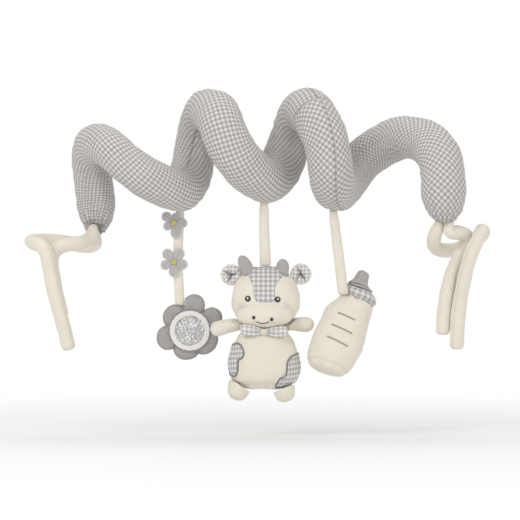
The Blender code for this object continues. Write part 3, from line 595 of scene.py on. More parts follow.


# brushed pile: a warm colour that drifts a little, fine nap in the bump, painted shade dark in seams and
# folds
def velour(name, colour, shade, nap=1500, sheen=0.25, blush=()):
    finish = Finish(name, Roughness=0.85, Sheen_Weight=sheen, Sheen_Roughness=0.45, Specular_IOR_Level=0.25)
    finish.surface.inputs["Sheen Tint"].default_value = (*[min(1, c * 1.1) for c in colour], 1)
    drift = finish.noise(55)
    pile = finish.noise(nap, 3, 0.7)
    deep = tuple(c * s for c, s in zip(colour, shade))
    tone = finish.mixed(((drift - 0.5) * 1.2 + (pile - 0.5) * 0.9 + 0.35).limited(), colour, deep)
    for spot, size, share, pink in blush:
        far = finish.add("ShaderNodeVectorMath", {"operation": "DISTANCE"}, {0: finish.place(), 1: spot}, 1)
        mask = (1 - far / size).limited() ** 1.4 * share * (0.7 + pile * 0.6)
        tone = finish.mixed(mask.limited(), tone, pink)
    # painted shade: darker where the seam tint marks seams, creases and folds
    tone = finish.shadedInSeams(tone, 0.75, tuple(c * s ** 3 for c, s in zip(colour, shade)))
    return finish.done(tone, finish.bump(pile * 0.7 + finish.noise(nap * 0.35, 2) * 0.8, 0.00018, 0.8))


# woven check: stripes of dyed yarn both ways, single threads in the bump, on the flat cloth, and painted
# shade in seams and folds
def gingham(name, period, white, half, dyed):
    finish = Finish(name, Roughness=0.82, Sheen_Weight=0.12, Sheen_Roughness=0.5, Specular_IOR_Level=0.25)
    across, down = finish.onCloth()
    wander = (finish.noise(160, 2) - 0.5) * 0.0006
    turn, yarn = 2 * math.pi / period, 2 * math.pi / 0.00046
    warp, weft = (((way + wander) * turn).sine() * 1.7 + 0.5 for way in (across, down))
    over = (across * yarn).sine() * (down * yarn).sine()
    share = (warp.limited() + weft.limited()) * 0.5 + over * 0.04 + (finish.noise(90) - 0.5) * 0.1
    stops = ((0, white), (1, dyed), (0.5, half))
    tone = finish.add("ShaderNodeValToRGB", {"stops": stops}, {0: share})
    under = finish.bump(finish.noise(420), 0.0002, 0.5)
    # painted shade: the check darkened where the seam tint marks seams and folds
    return finish.done(
        finish.shadedInSeams(tone, 0.8, darker(dyed, 0.55)), finish.bump(over * 0.5 + 0.5, 0.00005, 0.7, under))


# pressed fibres: matted noise with paler sewn rims, and painted shade in seams and creases
def felt(name, colour, rim):
    finish = Finish(name, Roughness=0.93, Sheen_Weight=0.3, Sheen_Roughness=0.6, Specular_IOR_Level=0.2)
    fibre = finish.noise(1300, 4, 0.75)
    tone = finish.mixed((fibre * 1.6 - 0.45).limited(), colour, darker(colour, 0.72))
    tone = finish.mixed((finish.tint("trim") * (0.6 + fibre * 0.6)).limited(), tone, rim)
    # painted shade: darker where the seam tint marks seams and creases
    return finish.done(finish.shadedInSeams(tone, 0.7, darker(colour, 0.4)), finish.bump(fibre, 0.00025, 0.8))


# rows of embroidery thread lying side by side along the flat cloth's first way
def thread(name, colour, pitch, gloss=0.5):
    finish = Finish(name, Roughness=gloss, Sheen_Weight=0.2, Specular_IOR_Level=0.4)
    down = finish.onCloth()[1]
    strands = ((down + finish.noise(700, 2) * 0.0003) * (2 * math.pi / pitch)).sine() * 0.5 + 0.5
    tone = finish.mixed(strands, darker(colour, 0.75), colour)
    return finish.done(tone, finish.bump(strands, 0.00005, 0.7))


# metal film crushed by hand: each of three ways has ridges, 1 - |sin|, bent and broken by a noise. The
# ridges bump the surface, and their crests are painted near white over grey as highlights
def film(name):
    finish = Finish(name, Metallic=0.6, Specular_IOR_Level=0.5)
    across, down = finish.onCloth()
    ridgeGlint = finish.noise(420, 2) * 0.3
    for turn, pitch, scale in ((22, 0.0033, 75), (74, 0.0029, 90), (133, 0.0035, 82)):
        way = across * math.cos(math.radians(turn)) + down * math.sin(math.radians(turn))
        bent = (way + finish.noise(scale * 1.5, 2) * 0.0062) * (math.pi / pitch)
        broken = (finish.noise(scale * 1.9, 1) * 8 - 3.3).limited()
        ridgeGlint = finish.greater(ridgeGlint, (1.25 - bent.sine().math("ABSOLUTE") * 1.7).limited() * broken)
    finish.feed("Roughness", (0.42 - ridgeGlint * 0.12).limited())
    # painted highlights: the ridges' crests near white, the film between them grey
    tone = finish.mixed(ridgeGlint, (0.42, 0.412, 0.41), (0.96, 0.965, 0.96))
    return finish.done(tone, finish.bump(ridgeGlint, 0.0006, 0.8))


cream = velour("creamVelour", (0.80, 0.757, 0.665), (0.93, 0.91, 0.87))
check = gingham("greyGingham", 0.0041, (0.725, 0.705, 0.68), (0.49, 0.47, 0.455), (0.34, 0.322, 0.31))
softCheck = gingham("softGingham", 0.0043, (0.77, 0.755, 0.735), (0.56, 0.54, 0.53), (0.39, 0.37, 0.362))
paleCheck = gingham("paleGingham", 0.0041, (0.82, 0.805, 0.785), (0.66, 0.64, 0.625), (0.46, 0.44, 0.43))
print("finishes ready")


# the spiral tube: the same winding round the arch as in the CAD, with its cloth laid round it
winding = {
    "halfWidth": 0.200, "height": 0.1845, "power": 2.4, "bore": 0.0135, "radius": 0.0205,
    "squeeze": 0.002, "neck": 0.0085, "end": 0.028, "taper": 1.9,
    # turn, place along half the arch, stand-off share, radius share
    "shares": (
        (-0.395, -0.580, 0.97, 0.86), (-0.25, -0.510, 1.00, 0.86), (0.00, -0.426, 1.20, 0.86),
        (0.25, -0.369, 1.04, 0.86), (0.50, -0.256, 1.08, 0.93), (0.75, -0.182, 1.00, 0.93),
        (1.00, -0.131, 1.02, 0.98), (1.25, -0.080, 1.00, 1.00), (1.50, 0.024, 0.98, 1.00),
        (1.75, 0.091, 1.00, 0.94), (2.00, 0.128, 1.03, 1.00), (2.25, 0.200, 1.00, 1.00),
        (2.50, 0.254, 0.97, 1.00), (2.75, 0.308, 1.00, 0.93), (2.95, 0.395, 1.24, 0.93),
        (3.05, 0.455, 1.28, 0.97), (3.18, 0.538, 1.10, 1.00), (3.26, 0.600, 1.00, 1.00),
    ),
    "ring": 0.00165, "columns": 100,
    # heights of the lumps, the inner bends' wrinkles, the seam's groove and the ends' pleats
    "lump": 0.0009, "smallLump": 0.00032, "wrinkle": 0.0006, "seam": 0.0006, "puff": 0.0004,
    "pleat": 0.0011, "pleats": 15, "gathered": 0.008,
    "seamWidth": 0.0007, "joinTurn": 2.09, "joinWidth": 0.0009, "seamTurn": -0.45,
    "leftBias": 8, "rightBias": 45, "stretch": 0.8,  # how the check lies on each cloth
    # the end's last rings: where they are, and how small and how deep the dimple's are
    "closing": (0.004, 0.014, 0.03, 0.055),
    "dimple": ((0.86, 0.0001), (0.62, 0.0008), (0.36, 0.0018), (0.15, 0.0026)),
}


# the tube's centre line winds round the arch: place + out radius cos(turn), y = -radius sin(turn)
def wind():
    turns, shares, stands, fullness = np.array(winding["shares"]).T
    wanted = np.linspace(turns[0], turns[-1], 2001)
    angle = np.linspace(-math.pi / 2, math.pi / 2, 2001)
    power = 2 / winding["power"]
    arch = np.column_stack([
        winding["halfWidth"] * blunt(np.sin(angle), power),
        winding["height"] * (np.abs(np.cos(angle)) ** power - 1),
    ])
    along = lengthsAlong(arch)
    at = along[-1] / 2 * (1 + monotone(turns, shares, wanted))
    place = readAt(arch, along, at)
    way = unit(readAt(np.gradient(arch, along, axis=0), along, at))
    full = winding["radius"] * monotone(turns, fullness, wanted)
    off = (winding["bore"] + full - winding["squeeze"]) * monotone(turns, stands, wanted)
    turn = wanted * 2 * math.pi
    line = place + np.column_stack([-way[:, 1], way[:, 0]]) * (off * np.cos(turn))[:, None]
    line = np.column_stack([line[:, 0], -off * np.sin(turn), line[:, 1]])
    return line, full, np.insert(place, 1, 0, axis=1), wanted


# the side of a line that is carried along it without twist, both ways from one place
def carried(line, start, at):
    way = unit(np.gradient(line, axis=0))
    side = np.zeros_like(line)
    side[at] = unit(start - way[at] * (way[at] @ start))
    for i in [*range(at + 1, len(line)), *range(at - 1, -1, -1)]:
        last = side[i - 1] if i > at else side[i + 1]
        side[i] = unit(last - way[i] * (way[i] @ last))
    return way, side, np.cross(way, side)


# where folds lie, shade is painted dark between them
def foldShade(folds, strength):
    return np.clip(-folds, 0, 1) * strength


def makeTube():
    line, full, bore, turns = wind()
    along = lengthsAlong(line)
    total = along[-1]
    s = np.linspace(0, total, round(total / winding["ring"]) + 1)
    close = winding["end"] * np.array(winding["closing"])
    s = np.unique(np.concatenate([s, close, total - close]))
    centre, inward, turnAt = readAt(line, along, s), readAt(bore, along, s), np.interp(s, along, turns)
    fromEnd = np.minimum(s, total - s)
    share = np.clip(fromEnd / winding["end"], 0, 1)
    swell = np.interp(s, along, full) - winding["neck"]
    radius = (winding["neck"] + swell * (1 - (1 - share) ** winding["taper"]) ** 0.8)[:, None]

    around = circle(winding["columns"])
    theta = around + winding["seamTurn"] * smoothStep(2.45, 2.1, turnAt)[:, None]
    way, side, other = carried(centre, np.array((0.0, -1.0, 0.0)), np.abs(turnAt - 2.25).argmin())
    spoke = side[:, None] * np.cos(theta)[..., None] + other[:, None] * np.sin(theta)[..., None]
    inner = smoothStep(0.25, 1, (spoke * unit(inward - centre)[:, None]).sum(-1))
    toSeam = np.minimum(around, 2 * math.pi - around) * radius
    join = bell(s - np.interp(winding["joinTurn"], turns, along), winding["joinWidth"])[:, None]
    groove = bell(toSeam, winding["seamWidth"])
    near = np.exp(-fromEnd / winding["gathered"])[:, None]
    gather = np.cos(winding["pleats"] * theta + 1.4 * np.sin(2 * theta) + 0.6) * near
    folds = np.sin(s * 1180 + 1.7 * np.sin(s * 62))[:, None] * np.cos(theta * 3 + s[:, None] * 20) * inner
    smooth = centre[:, None] + spoke * radius[..., None]
    lift = (
        winding["lump"] * lumps(smooth, 0.045, 3) - winding["seam"] * np.maximum(groove, join)
        + winding["pleat"] * gather + winding["wrinkle"] * folds
        + winding["smallLump"] * lumps(smooth, 0.012, 4) * (1 + near)
        + winding["puff"] * bell(toSeam - 0.0022, 0.0014)
    )
    points = smooth + spoke * lift[..., None]
    # painted shade in the seam's groove, at the join and between the pleats and the wrinkles
    tint = np.clip((groove + join) * 0.55 + foldShade(gather, 0.8) + foldShade(folds, 0.25), 0, 1)

    # the cloth's length is that of the outer side of each bend, and the inner side is bunched
    bend = np.linalg.norm(np.gradient(way, s, axis=0), axis=1)
    outer = np.cumsum(np.diff(s) * (1 + winding["stretch"] * radius[:, 0] * bend)[1:])
    flat = woundCloth(winding["columns"], 2 * math.pi * winding["radius"], np.append(0, outer))
    u, v = flat[..., 0], flat[..., 1]
    right = turnAt > winding["joinTurn"]
    bias = np.radians(np.where(right, winding["rightBias"], winding["leftBias"]))[:, None]
    cloth = np.stack([u * np.cos(bias) - v * np.sin(bias), u * np.sin(bias) + v * np.cos(bias)], axis=-1)

    # the gathered ends close in a dimple, darkened by painted shade
    shrink, deep = np.array(winding["dimple"]).T[..., None, None]

    def dimple(end, sign):
        rings = centre[end] + (points[end] - centre[end]) * shrink + way[end] * sign * deep
        count, paintedShade = len(rings), tint[end] * 0.5 + 0.4
        return rings[::-sign], np.tile(cloth[end], (count, 1, 1)), np.tile(paintedShade, (count, 1))

    grids = zip(dimple(0, 1), (points, cloth, tint), dimple(-1, -1))
    points, cloth, tint = (np.concatenate(rows) for rows in grids)
    mesh = closedMesh("spiralTube", points, cloth, seam=tint)
    addPiece(mesh, "wound_tube", check, "grey_gingham", "spiral_tube", fill=0.85)
    return centre


# the tie cords: velour tubes on the CAD's routes, sewn into the gathered ends
ties = {
    "radius": 0.0064, "root": 0.0036, "leave": 0.0042, "taper": 0.018, "end": 0.005, "tip": 0.45,
    "closing": (0.5, 0.25, 0.1, 0.03), "clearance": 0.00031, "spacing": 0.0018, "columns": 28,
    "lump": 0.00025, "seam": 0.0005, "seamWidth": 0.0007, "wrinkle": 0.0003, "clothWidth": 0.04,
    "routes": {
        "left_tie_front": (
            (-0.1515, 0.0000, -0.0840), (-0.1565, -0.0095, -0.0870), (-0.1640, -0.0175, -0.0880),
            (-0.1735, -0.0205, -0.0895), (-0.1810, -0.0205, -0.0935), (-0.1850, -0.0205, -0.1010),
            (-0.1850, -0.0205, -0.1120), (-0.1820, -0.0205, -0.1280), (-0.1785, -0.0205, -0.1440),
            (-0.1760, -0.0205, -0.1560),
        ),
        "left_tie_back": (
            (-0.1485, 0.0205, -0.0900), (-0.1595, 0.0245, -0.0912), (-0.1720, 0.0225, -0.0885),
            (-0.1850, 0.0210, -0.0870), (-0.1965, 0.0145, -0.0865), (-0.2030, 0.0030, -0.0865),
            (-0.2035, -0.0090, -0.0870), (-0.2000, -0.0210, -0.0880), (-0.1940, -0.0310, -0.0900),
            (-0.1890, -0.0350, -0.0980), (-0.1865, -0.0345, -0.1110), (-0.1830, -0.0350, -0.1280),
            (-0.1785, -0.0348, -0.1460), (-0.1735, -0.0325, -0.1650), (-0.1695, -0.0300, -0.1830),
        ),
        "right_tie_front": (
            (0.1710, -0.0330, -0.0775), (0.1790, -0.0275, -0.0785), (0.1860, -0.0225, -0.0815),
            (0.1865, -0.0205, -0.0895), (0.1800, -0.0205, -0.1005), (0.1730, -0.0205, -0.1160),
            (0.1690, -0.0205, -0.1320), (0.1665, -0.0205, -0.1480), (0.1648, -0.0205, -0.1700),
        ),
        "right_tie_back": (
            (0.1590, -0.0275, -0.0775), (0.1570, -0.0165, -0.0855), (0.1590, -0.0020, -0.0915),
            (0.1650, 0.0130, -0.0950), (0.1760, 0.0215, -0.0950), (0.1890, 0.0205, -0.0900),
            (0.1980, 0.0120, -0.0845), (0.2015, -0.0005, -0.0800), (0.2010, -0.0140, -0.0770),
            (0.1988, -0.0272, -0.0780), (0.1950, -0.0355, -0.0860), (0.1895, -0.0350, -0.0980),
            (0.1850, -0.0300, -0.1150), (0.1810, -0.0255, -0.1370), (0.1785, -0.0245, -0.1600),
            (0.1775, -0.0245, -0.1830),
        ),
    },
}


def makeTie(name, seed, tubeLine):
    left = name.startswith("left")
    end, before = (tubeLine[0], tubeLine[6]) if left else (tubeLine[-1], tubeLine[-7])
    outward = unit(end - before)
    route = np.array(ties["routes"][name])
    aside = route[0] - end
    aside = unit(aside - outward * (aside @ outward))
    root = end + outward * ties["clearance"] + aside * (winding["neck"] - ties["root"])
    rough = through(np.vstack([root, root + outward * ties["leave"], route]), 14)
    along = lengthsAlong(rough)
    s = np.linspace(0, along[-1], round(along[-1] / ties["spacing"]) + 1)
    s = np.unique(np.append(s, along[-1] - ties["end"] * np.array(ties["closing"])))
    line = readAt(rough, along, s)
    swell, close = np.clip(s / ties["taper"], 0, 1), np.clip((s[-1] - s) / ties["end"], 0, 1)
    radius = ties["root"] + (ties["radius"] - ties["root"]) * swell * (2 - swell)
    radius = (radius * (ties["tip"] + (1 - ties["tip"]) * np.sqrt(1 - (1 - close) ** 2)))[:, None]
    way, side, other = carried(line, np.array((0.3, 0.2, 1.0)), len(line) // 3)
    theta = circle(ties["columns"])
    spoke = side[:, None] * np.cos(theta)[:, None] + other[:, None] * np.sin(theta)[:, None]
    bend = np.gradient(way, s, axis=0)
    inside = np.clip((spoke * bend[:, None]).sum(-1) * 0.012, 0, 1)
    groove = bell(np.minimum(theta, 2 * math.pi - theta) * radius, ties["seamWidth"])
    folds = np.sin(s * 1500 + 2 * np.sin(s * 90))[:, None] * inside
    smooth = line[:, None] + spoke * radius[..., None]
    lift = ties["lump"] * lumps(smooth, 0.014, seed) - ties["seam"] * groove + ties["wrinkle"] * folds
    points = smooth + spoke * lift[..., None]
    cloth = woundCloth(ties["columns"], ties["clothWidth"], s)
    # painted shade in the seam's groove and between the folds
    tint = np.clip(groove * 0.5 + foldShade(folds, 0.4), 0, 1)
    first, *rest = name.split("_")
    mesh = closedMesh(first + "".join(part.title() for part in rest), points, cloth, seam=tint)
    made = addPiece(mesh, "wound_tube", cream, "cream_velour", name)


tubeLine = makeTube()
for seed, name in enumerate(ties["routes"], 20):
    makeTie(name, seed, tubeLine)
print("tube and ties made")


# the three flat straps, each sewn into the tube's seam and into its toy
straps = {
    "width": 0.0095, "thickness": 0.004, "rows": 150, "columns": 44, "seam": 0.00045, "stitch": 0.0028,
    "topShare": 0.74, "middleShare": 0.86, "clothWidth": 0.022,
    # how far each end lies beside its hinge, how wide the lower end is, how far the middle bows to
    # the side, and how much further than the lower hinge it reaches
    "flower": {"aside": (-0.0034, -0.0004), "low": 0.86, "bow": -0.0018, "longer": 0},
    "cow": {"aside": (0.0009, 0.0005), "low": 1.0, "bow": 0, "longer": 0.0011},
    "bottle": {"aside": (-0.0028, -0.0025), "low": 0.96, "bow": 0, "longer": 0},
}


# a flat stuffed band: x = half width sign(cos) |cos|^0.85, y = half thickness sign(sin) |sin|^0.9,
# closed to a seam at both ends, and its line runs from hinge to hinge
def makeStrap(name):
    here = straps[name]
    top, bottom = hinges[name + "_swing"], hinges[name + "_twist"]
    length, cap = top[2] - bottom[2], straps["thickness"] / 2
    low = length + here["longer"]
    z = np.linspace(cap * 0.985, -low - cap * 0.985, straps["rows"])
    share = np.clip(-z / length, 0, 1)
    past = (np.maximum(np.maximum(z, -low - z), 0) / cap)[:, None]
    widths = straps["topShare"], straps["middleShare"], 0.93 * min(1, here["low"] + 0.1), here["low"]
    half = straps["width"] / 2 * np.interp(share, (0, 0.12, 0.5, 1), widths)[:, None]
    half = half * (1 - 0.18 * smoothStep(0.3, 1, past))
    thin = 0.12 * smoothStep(0.04, 0, np.minimum(share, 1 - share))[:, None]
    theta = circle(straps["columns"])
    cosine, sine = np.cos(theta), np.sin(theta)
    edge = np.exp(-((1 - np.abs(cosine)) / 0.012))
    x = half * blunt(cosine, 0.85)
    y = cap * np.sqrt(1 - past ** 2) * (1 - thin) * blunt(sine, 0.9)
    centre = top + (bottom - top) * share[:, None]
    centre[:, 0] += np.interp(share, (0, 1), here["aside"]) + here["bow"] * np.sin(math.pi * share)
    centre[:, 2] = top[2] + z
    wave = 0.00035 * lumps(centre[:, [2, 0, 1]] * (1, 1, 0), 0.03, len(name))[:, None]
    points = centre[:, None] + np.stack([x * (1 + edge * 0.04) + wave * 0.5, y, 0 * x], axis=-1)
    stitch = bell(np.abs(x) / half - 0.80, 0.05) * (np.abs(sine) > 0.1)
    puckers = 0.5 + 0.5 * np.sin(z * 2 * math.pi / straps["stitch"])[:, None]
    points[..., 1] -= np.sign(sine) * straps["seam"] * 0.5 * stitch * puckers * (past < 0.01)
    points[..., 1] += sine * 0.0002 * lumps(points, 0.008, 9) * (past < 0.3)
    ends = (bell(share, 0.02) + bell(share - 1, 0.02))[:, None]
    cloth = woundCloth(straps["columns"], straps["clothWidth"], z)
    # painted shade along the stitch lines, at the edges and at the ends
    tint = np.clip(stitch * 0.3 + (edge + ends) * 0.35, 0, 1)
    node = name + "_strap"
    mesh = closedMesh(name + "Strap", points, cloth, seam=tint)
    addPiece(mesh, node, cream, "cream_velour", node, fill=0.35)


for name in ("flower", "cow", "bottle"):
    makeStrap(name)


# flat flowers: each angle's reach is the far side of the nearest petal's circle, drawn out or in
# from the cleft for that petal's length. Angles in degrees, the first petal's on
def petalReach(angle, radius, share, first, lengths, turned=0):
    count = len(lengths)
    step = 2 * math.pi / count
    places = first + np.arange(count) * 360 / count
    off = np.interp(np.degrees(angle), places, np.broadcast_to(turned, count), period=360)
    fromFirst = angle - np.radians(off) - math.radians(first)
    aside = (fromFirst + step / 2) % step - step / 2
    reach, petal = radius * share, radius * (1 - share)
    far = reach * np.cos(aside) + np.sqrt(np.maximum(petal ** 2 - (reach * np.sin(aside)) ** 2, 0))
    cleft = reach * math.cos(step / 2) + math.sqrt(max(petal ** 2 - (reach * math.sin(step / 2)) ** 2, 0))
    longer = np.array(lengths)[np.round(fromFirst / step).astype(int) % count] - 1
    return cleft + (far - cleft) * (1 + longer * radius / (radius - cleft)), aside


# the two felt flowers on the flower's strap
feltFlowers = {
    # where each lies from the strap's upper hinge, its radius, turn and petals' lengths
    "upper": {
        "place": (-0.0094, -0.0104), "radius": 0.0126, "turn": -76,
        "lengths": (1.2, 1.0, 0.74, 1.02, 0.82),
    },
    "lower": {
        "place": (-0.0092, -0.0460), "radius": 0.0134, "turn": -88,
        "lengths": (1.05, 0.97, 1.04, 1.05, 0.94),
    },
    "reach": 0.64, "felt": 0.0016, "gap": 0.0003, "columns": 150, "rings": 26,
    "stitchIn": 0.0012, "stitchWidth": 0.00035, "stitchDeep": 0.00028, "veinDeep": 0.0002, "wave": 0.00018,
    "centre": (0.0046, 0.0050), "centreRise": 0.0013, "rib": 0.0007, "ribRise": 0.00012,
}
greyFelt = felt("greyFelt", (0.45, 0.43, 0.42), (0.66, 0.645, 0.63))
flowerFelt = felt("flowerFelt", (0.54, 0.515, 0.50), (0.70, 0.685, 0.67))
yellow = thread("yellowThread", (0.70, 0.60, 0.17), 0.0006)


def makeFeltFlower(name):
    here, half = feltFlowers[name], feltFlowers["felt"] / 2
    front = -straps["thickness"] / 2 - feltFlowers["gap"]
    x, z = here["place"]
    middle = hinges["flower_swing"] + (x, front - half, z)
    angle = circle(feltFlowers["columns"])
    far, aside = petalReach(angle, here["radius"], feltFlowers["reach"], here["turn"], here["lengths"])
    rings = feltFlowers["rings"]
    s = np.concatenate([np.linspace(0.03, 0.97, rings), (0.992, 1.0, 0.992), (0.95, 0.6, 0.1)])[:, None]
    y = np.concatenate([np.full(rings, -half), (-half * 0.75, 0, half * 0.75), (half,) * 3])[:, None]
    reach, inset = s * far, (1 - s) * far
    onFront = (np.arange(len(s)) < rings)[:, None]
    line = bell(inset - feltFlowers["stitchIn"], feltFlowers["stitchWidth"]) * onFront
    vein = bell(aside * reach, 0.0005) * smoothStep(0.003, 0.0045, reach)
    vein = vein * smoothStep(0.95, 0.8, s) * onFront
    cleft = bell((math.pi / 5 - np.abs(aside)) * reach, 0.0007) * smoothStep(0.9, 0.6, s) * onFront
    deep = y + feltFlowers["stitchDeep"] * line + feltFlowers["veinDeep"] * (vein + cleft)
    points = polar(reach, angle, deep)
    cloth = seenFlat(points)
    points[..., 1] += feltFlowers["wave"] * lumps(points + x, 0.009, 5)
    rim = smoothStep(0.0015, 0.0009, inset) * onFront + (1 - onFront) * 0.4
    # painted shade in the stitched line, the clefts and the veins
    tint = np.clip(line * 0.35 + cleft * 0.5 + vein * 0.3, 0, 1)
    mesh = closedMesh(name + "FeltFlower", points + middle, cloth, trim=np.clip(rim, 0, 1), seam=tint)
    addPiece(mesh, "flower_strap", flowerFelt, "grey_felt", name + "_felt_flower")

    # its yellow centre is a block of upright stitches
    angle = circle(40)
    box = np.stack([blunt(wave, 0.45) * size / 2 for wave, size in zip(
        (np.cos(angle), np.sin(angle)), feltFlowers["centre"])], axis=-1)
    s = np.linspace(0.05, 1, 12)
    rise = np.append(feltFlowers["centreRise"] * np.sqrt(1 - s ** 4), (0, 0))[:, None]
    places = np.append(s, (0.9, 0.1))[:, None, None] * box
    ribs = feltFlowers["ribRise"] * np.sin(places[..., 0] * 2 * math.pi / feltFlowers["rib"])
    up = rise + ribs * (rise > 0) + half + feltFlowers["gap"]
    points = middle + np.stack([places[..., 0], -up, places[..., 1]], axis=-1)
    mesh = closedMesh(name + "FeltCentre", points, wrapped(places)[..., ::-1])
    addPiece(mesh, "flower_strap", yellow, "yellow_thread", name + "_felt_centre")


for name in ("upper", "lower"):
    makeFeltFlower(name)
print("straps and felt flowers made")


# the flower toy: six stuffed petals, a crushed film mirror and its ring
flower = {
    "aside": 0.0087, "below": 0.0243, "radius": 0.033, "reach": 0.655, "turn": 20, "thickness": 0.007,
    "columns": 216, "rings": 44, "channel": 0.0016, "roll": 0.0052, "flatTo": 0.0175, "lump": 0.0002,
    "petals": (0.98, 1.0, 0.88, 0.95, 0.82, 0.84),  # length shares from the right one on
    "turned": (12, 0, -4, 1, -6, 6),  # how many degrees each petal is off an even star
    "clearance": 0.0003, "mirror": 0.0160, "film": 0.0008, "crush": 0.0005, "gap": 0.0003,
    "ringRadius": 0.018, "ringWidth": 0.0046, "ringHeight": 0.0034, "stitches": 44, "stitchDeep": 0.0008,
}
greyVelour = velour("greyVelour", (0.398, 0.379, 0.372), (0.88, 0.88, 0.88), nap=1300, sheen=0.2)
whiteVelour = velour("whiteVelour", (0.84, 0.825, 0.80), (0.94, 0.94, 0.93), sheen=0.15)
silver = film("silverFilm")


# the petals: y = half thickness sqrt(1 - (1 - inset / roll)^2), less in the channels between them
def makePetals(middle, half):
    angle = circle(flower["columns"])
    far, aside = petalReach(
        angle, flower["radius"], flower["reach"], flower["turn"], flower["petals"], flower["turned"])
    s = np.sin(np.linspace(0.04, 1, flower["rings"]) * math.pi / 2)[:, None]
    reach, inset = s * far, (1 - s) * far
    rolled = np.sqrt(1 - (1 - np.clip(inset / flower["roll"], 0, 1)) ** 2)
    cleft = bell((math.pi / 6 - np.abs(aside)) * reach, flower["channel"])
    cleft = cleft * smoothStep(flower["flatTo"] - 0.002, flower["flatTo"] + 0.004, reach)
    # painted shade: dark in the channels between petals, in a band just inside the rims and at the rims
    paintedShade = cleft * 0.55 + bell(inset - 0.0009, 0.0006) * 0.35 + smoothStep(0.0022, 0, inset) * 0.3

    def layer(sign):
        points = polar(reach, angle, sign * half * rolled * (1 - 0.55 * cleft))
        points[..., 1] += sign * flower["lump"] * lumps(points, 0.011, 6) * rolled
        return points

    points = np.concatenate([layer(-1), layer(1)[:-1][::-1]]) + middle
    tint = np.clip(np.concatenate([paintedShade, paintedShade[:-1][::-1]]), 0, 1)
    # beside the strap the petals are tucked in
    strapX, _, strapZ = hinges["flower_twist"]
    gap = straps["width"] / 2 * straps["flower"]["low"] + flower["clearance"]
    offX = points[..., 0] - strapX
    near = (points[..., 2] > strapZ - straps["thickness"] / 2 - 0.0004) & (np.abs(offX) < gap)
    points[..., 0] = np.where(near, strapX + np.where(offX < 0, -gap, gap), points[..., 0])
    mesh = closedMesh("flowerPetals", points, seenFlat(points), seam=tint)
    ends = int((s * flower["radius"] < flower["flatTo"] + 0.001).sum())
    blowUp(mesh, tint * 1.6, ends, pressure=5, limit=0.0007)
    addPiece(mesh, "flower", greyVelour, "grey_velour", "flower_petals", fill=0.6)


# the mirror lies crushed behind the ring
def makeMirror(middle, half):
    angle = circle(120)
    s = np.append(np.linspace(0.02, 1, 46), (1, 0.1))[:, None]
    disc = polar(s * flower["mirror"], angle)
    crush = np.abs(lumps(disc, 0.006, 11)) + 0.6 * np.abs(lumps(disc, 0.0026, 12))
    disc[..., 1] = -half - flower["gap"] - flower["film"] - flower["crush"] * crush * smoothStep(1, 0.8, s)
    disc[-2:, :, 1] = -half - flower["gap"]
    mesh = closedMesh("flowerMirror", disc + middle, seenFlat(disc))
    addPiece(mesh, "flower", silver, "silver_film", "flower_mirror")


# the ring: two soft rolls with a sewn line between, drawn in by its stitches
def makeRing(middle, half):
    around, angle = circle(30), circle(180)[:, None]
    high, wide = flower["ringHeight"] / 2, flower["ringWidth"] / 2
    line = bell(np.cos(around) + 0.05, 0.18) * (np.sin(around) > 0)
    pull = 0.5 + 0.5 * np.sin(angle * flower["stitches"])
    up = high * np.sin(around) - flower["stitchDeep"] * line * (0.6 + 0.4 * pull)
    puffed = 1 + 0.05 * np.sin(angle * flower["stitches"] / 2)
    reach = flower["ringRadius"] - wide + wide * np.cos(around) * puffed
    seat = -half - 2 * flower["gap"] - flower["film"] - high
    ring = polar(reach, angle, seat - up)
    ring = np.concatenate([ring, ring[:1]])
    cloth = woundCloth(30, 0.01, np.arange(181) / 180 * 0.11)
    # painted shade along the sewn line's groove
    mesh = closedMesh("flowerRing", ring + middle, cloth, welded=True, seam=line * 0.8)
    addPiece(mesh, "flower", whiteVelour, "white_velour", "flower_ring", fill=0.8)


for makePart in (makePetals, makeMirror, makeRing):
    makePart(hinges["flower_twist"] + (flower["aside"], 0, -flower["below"]), flower["thickness"] / 2)
print("flower made")


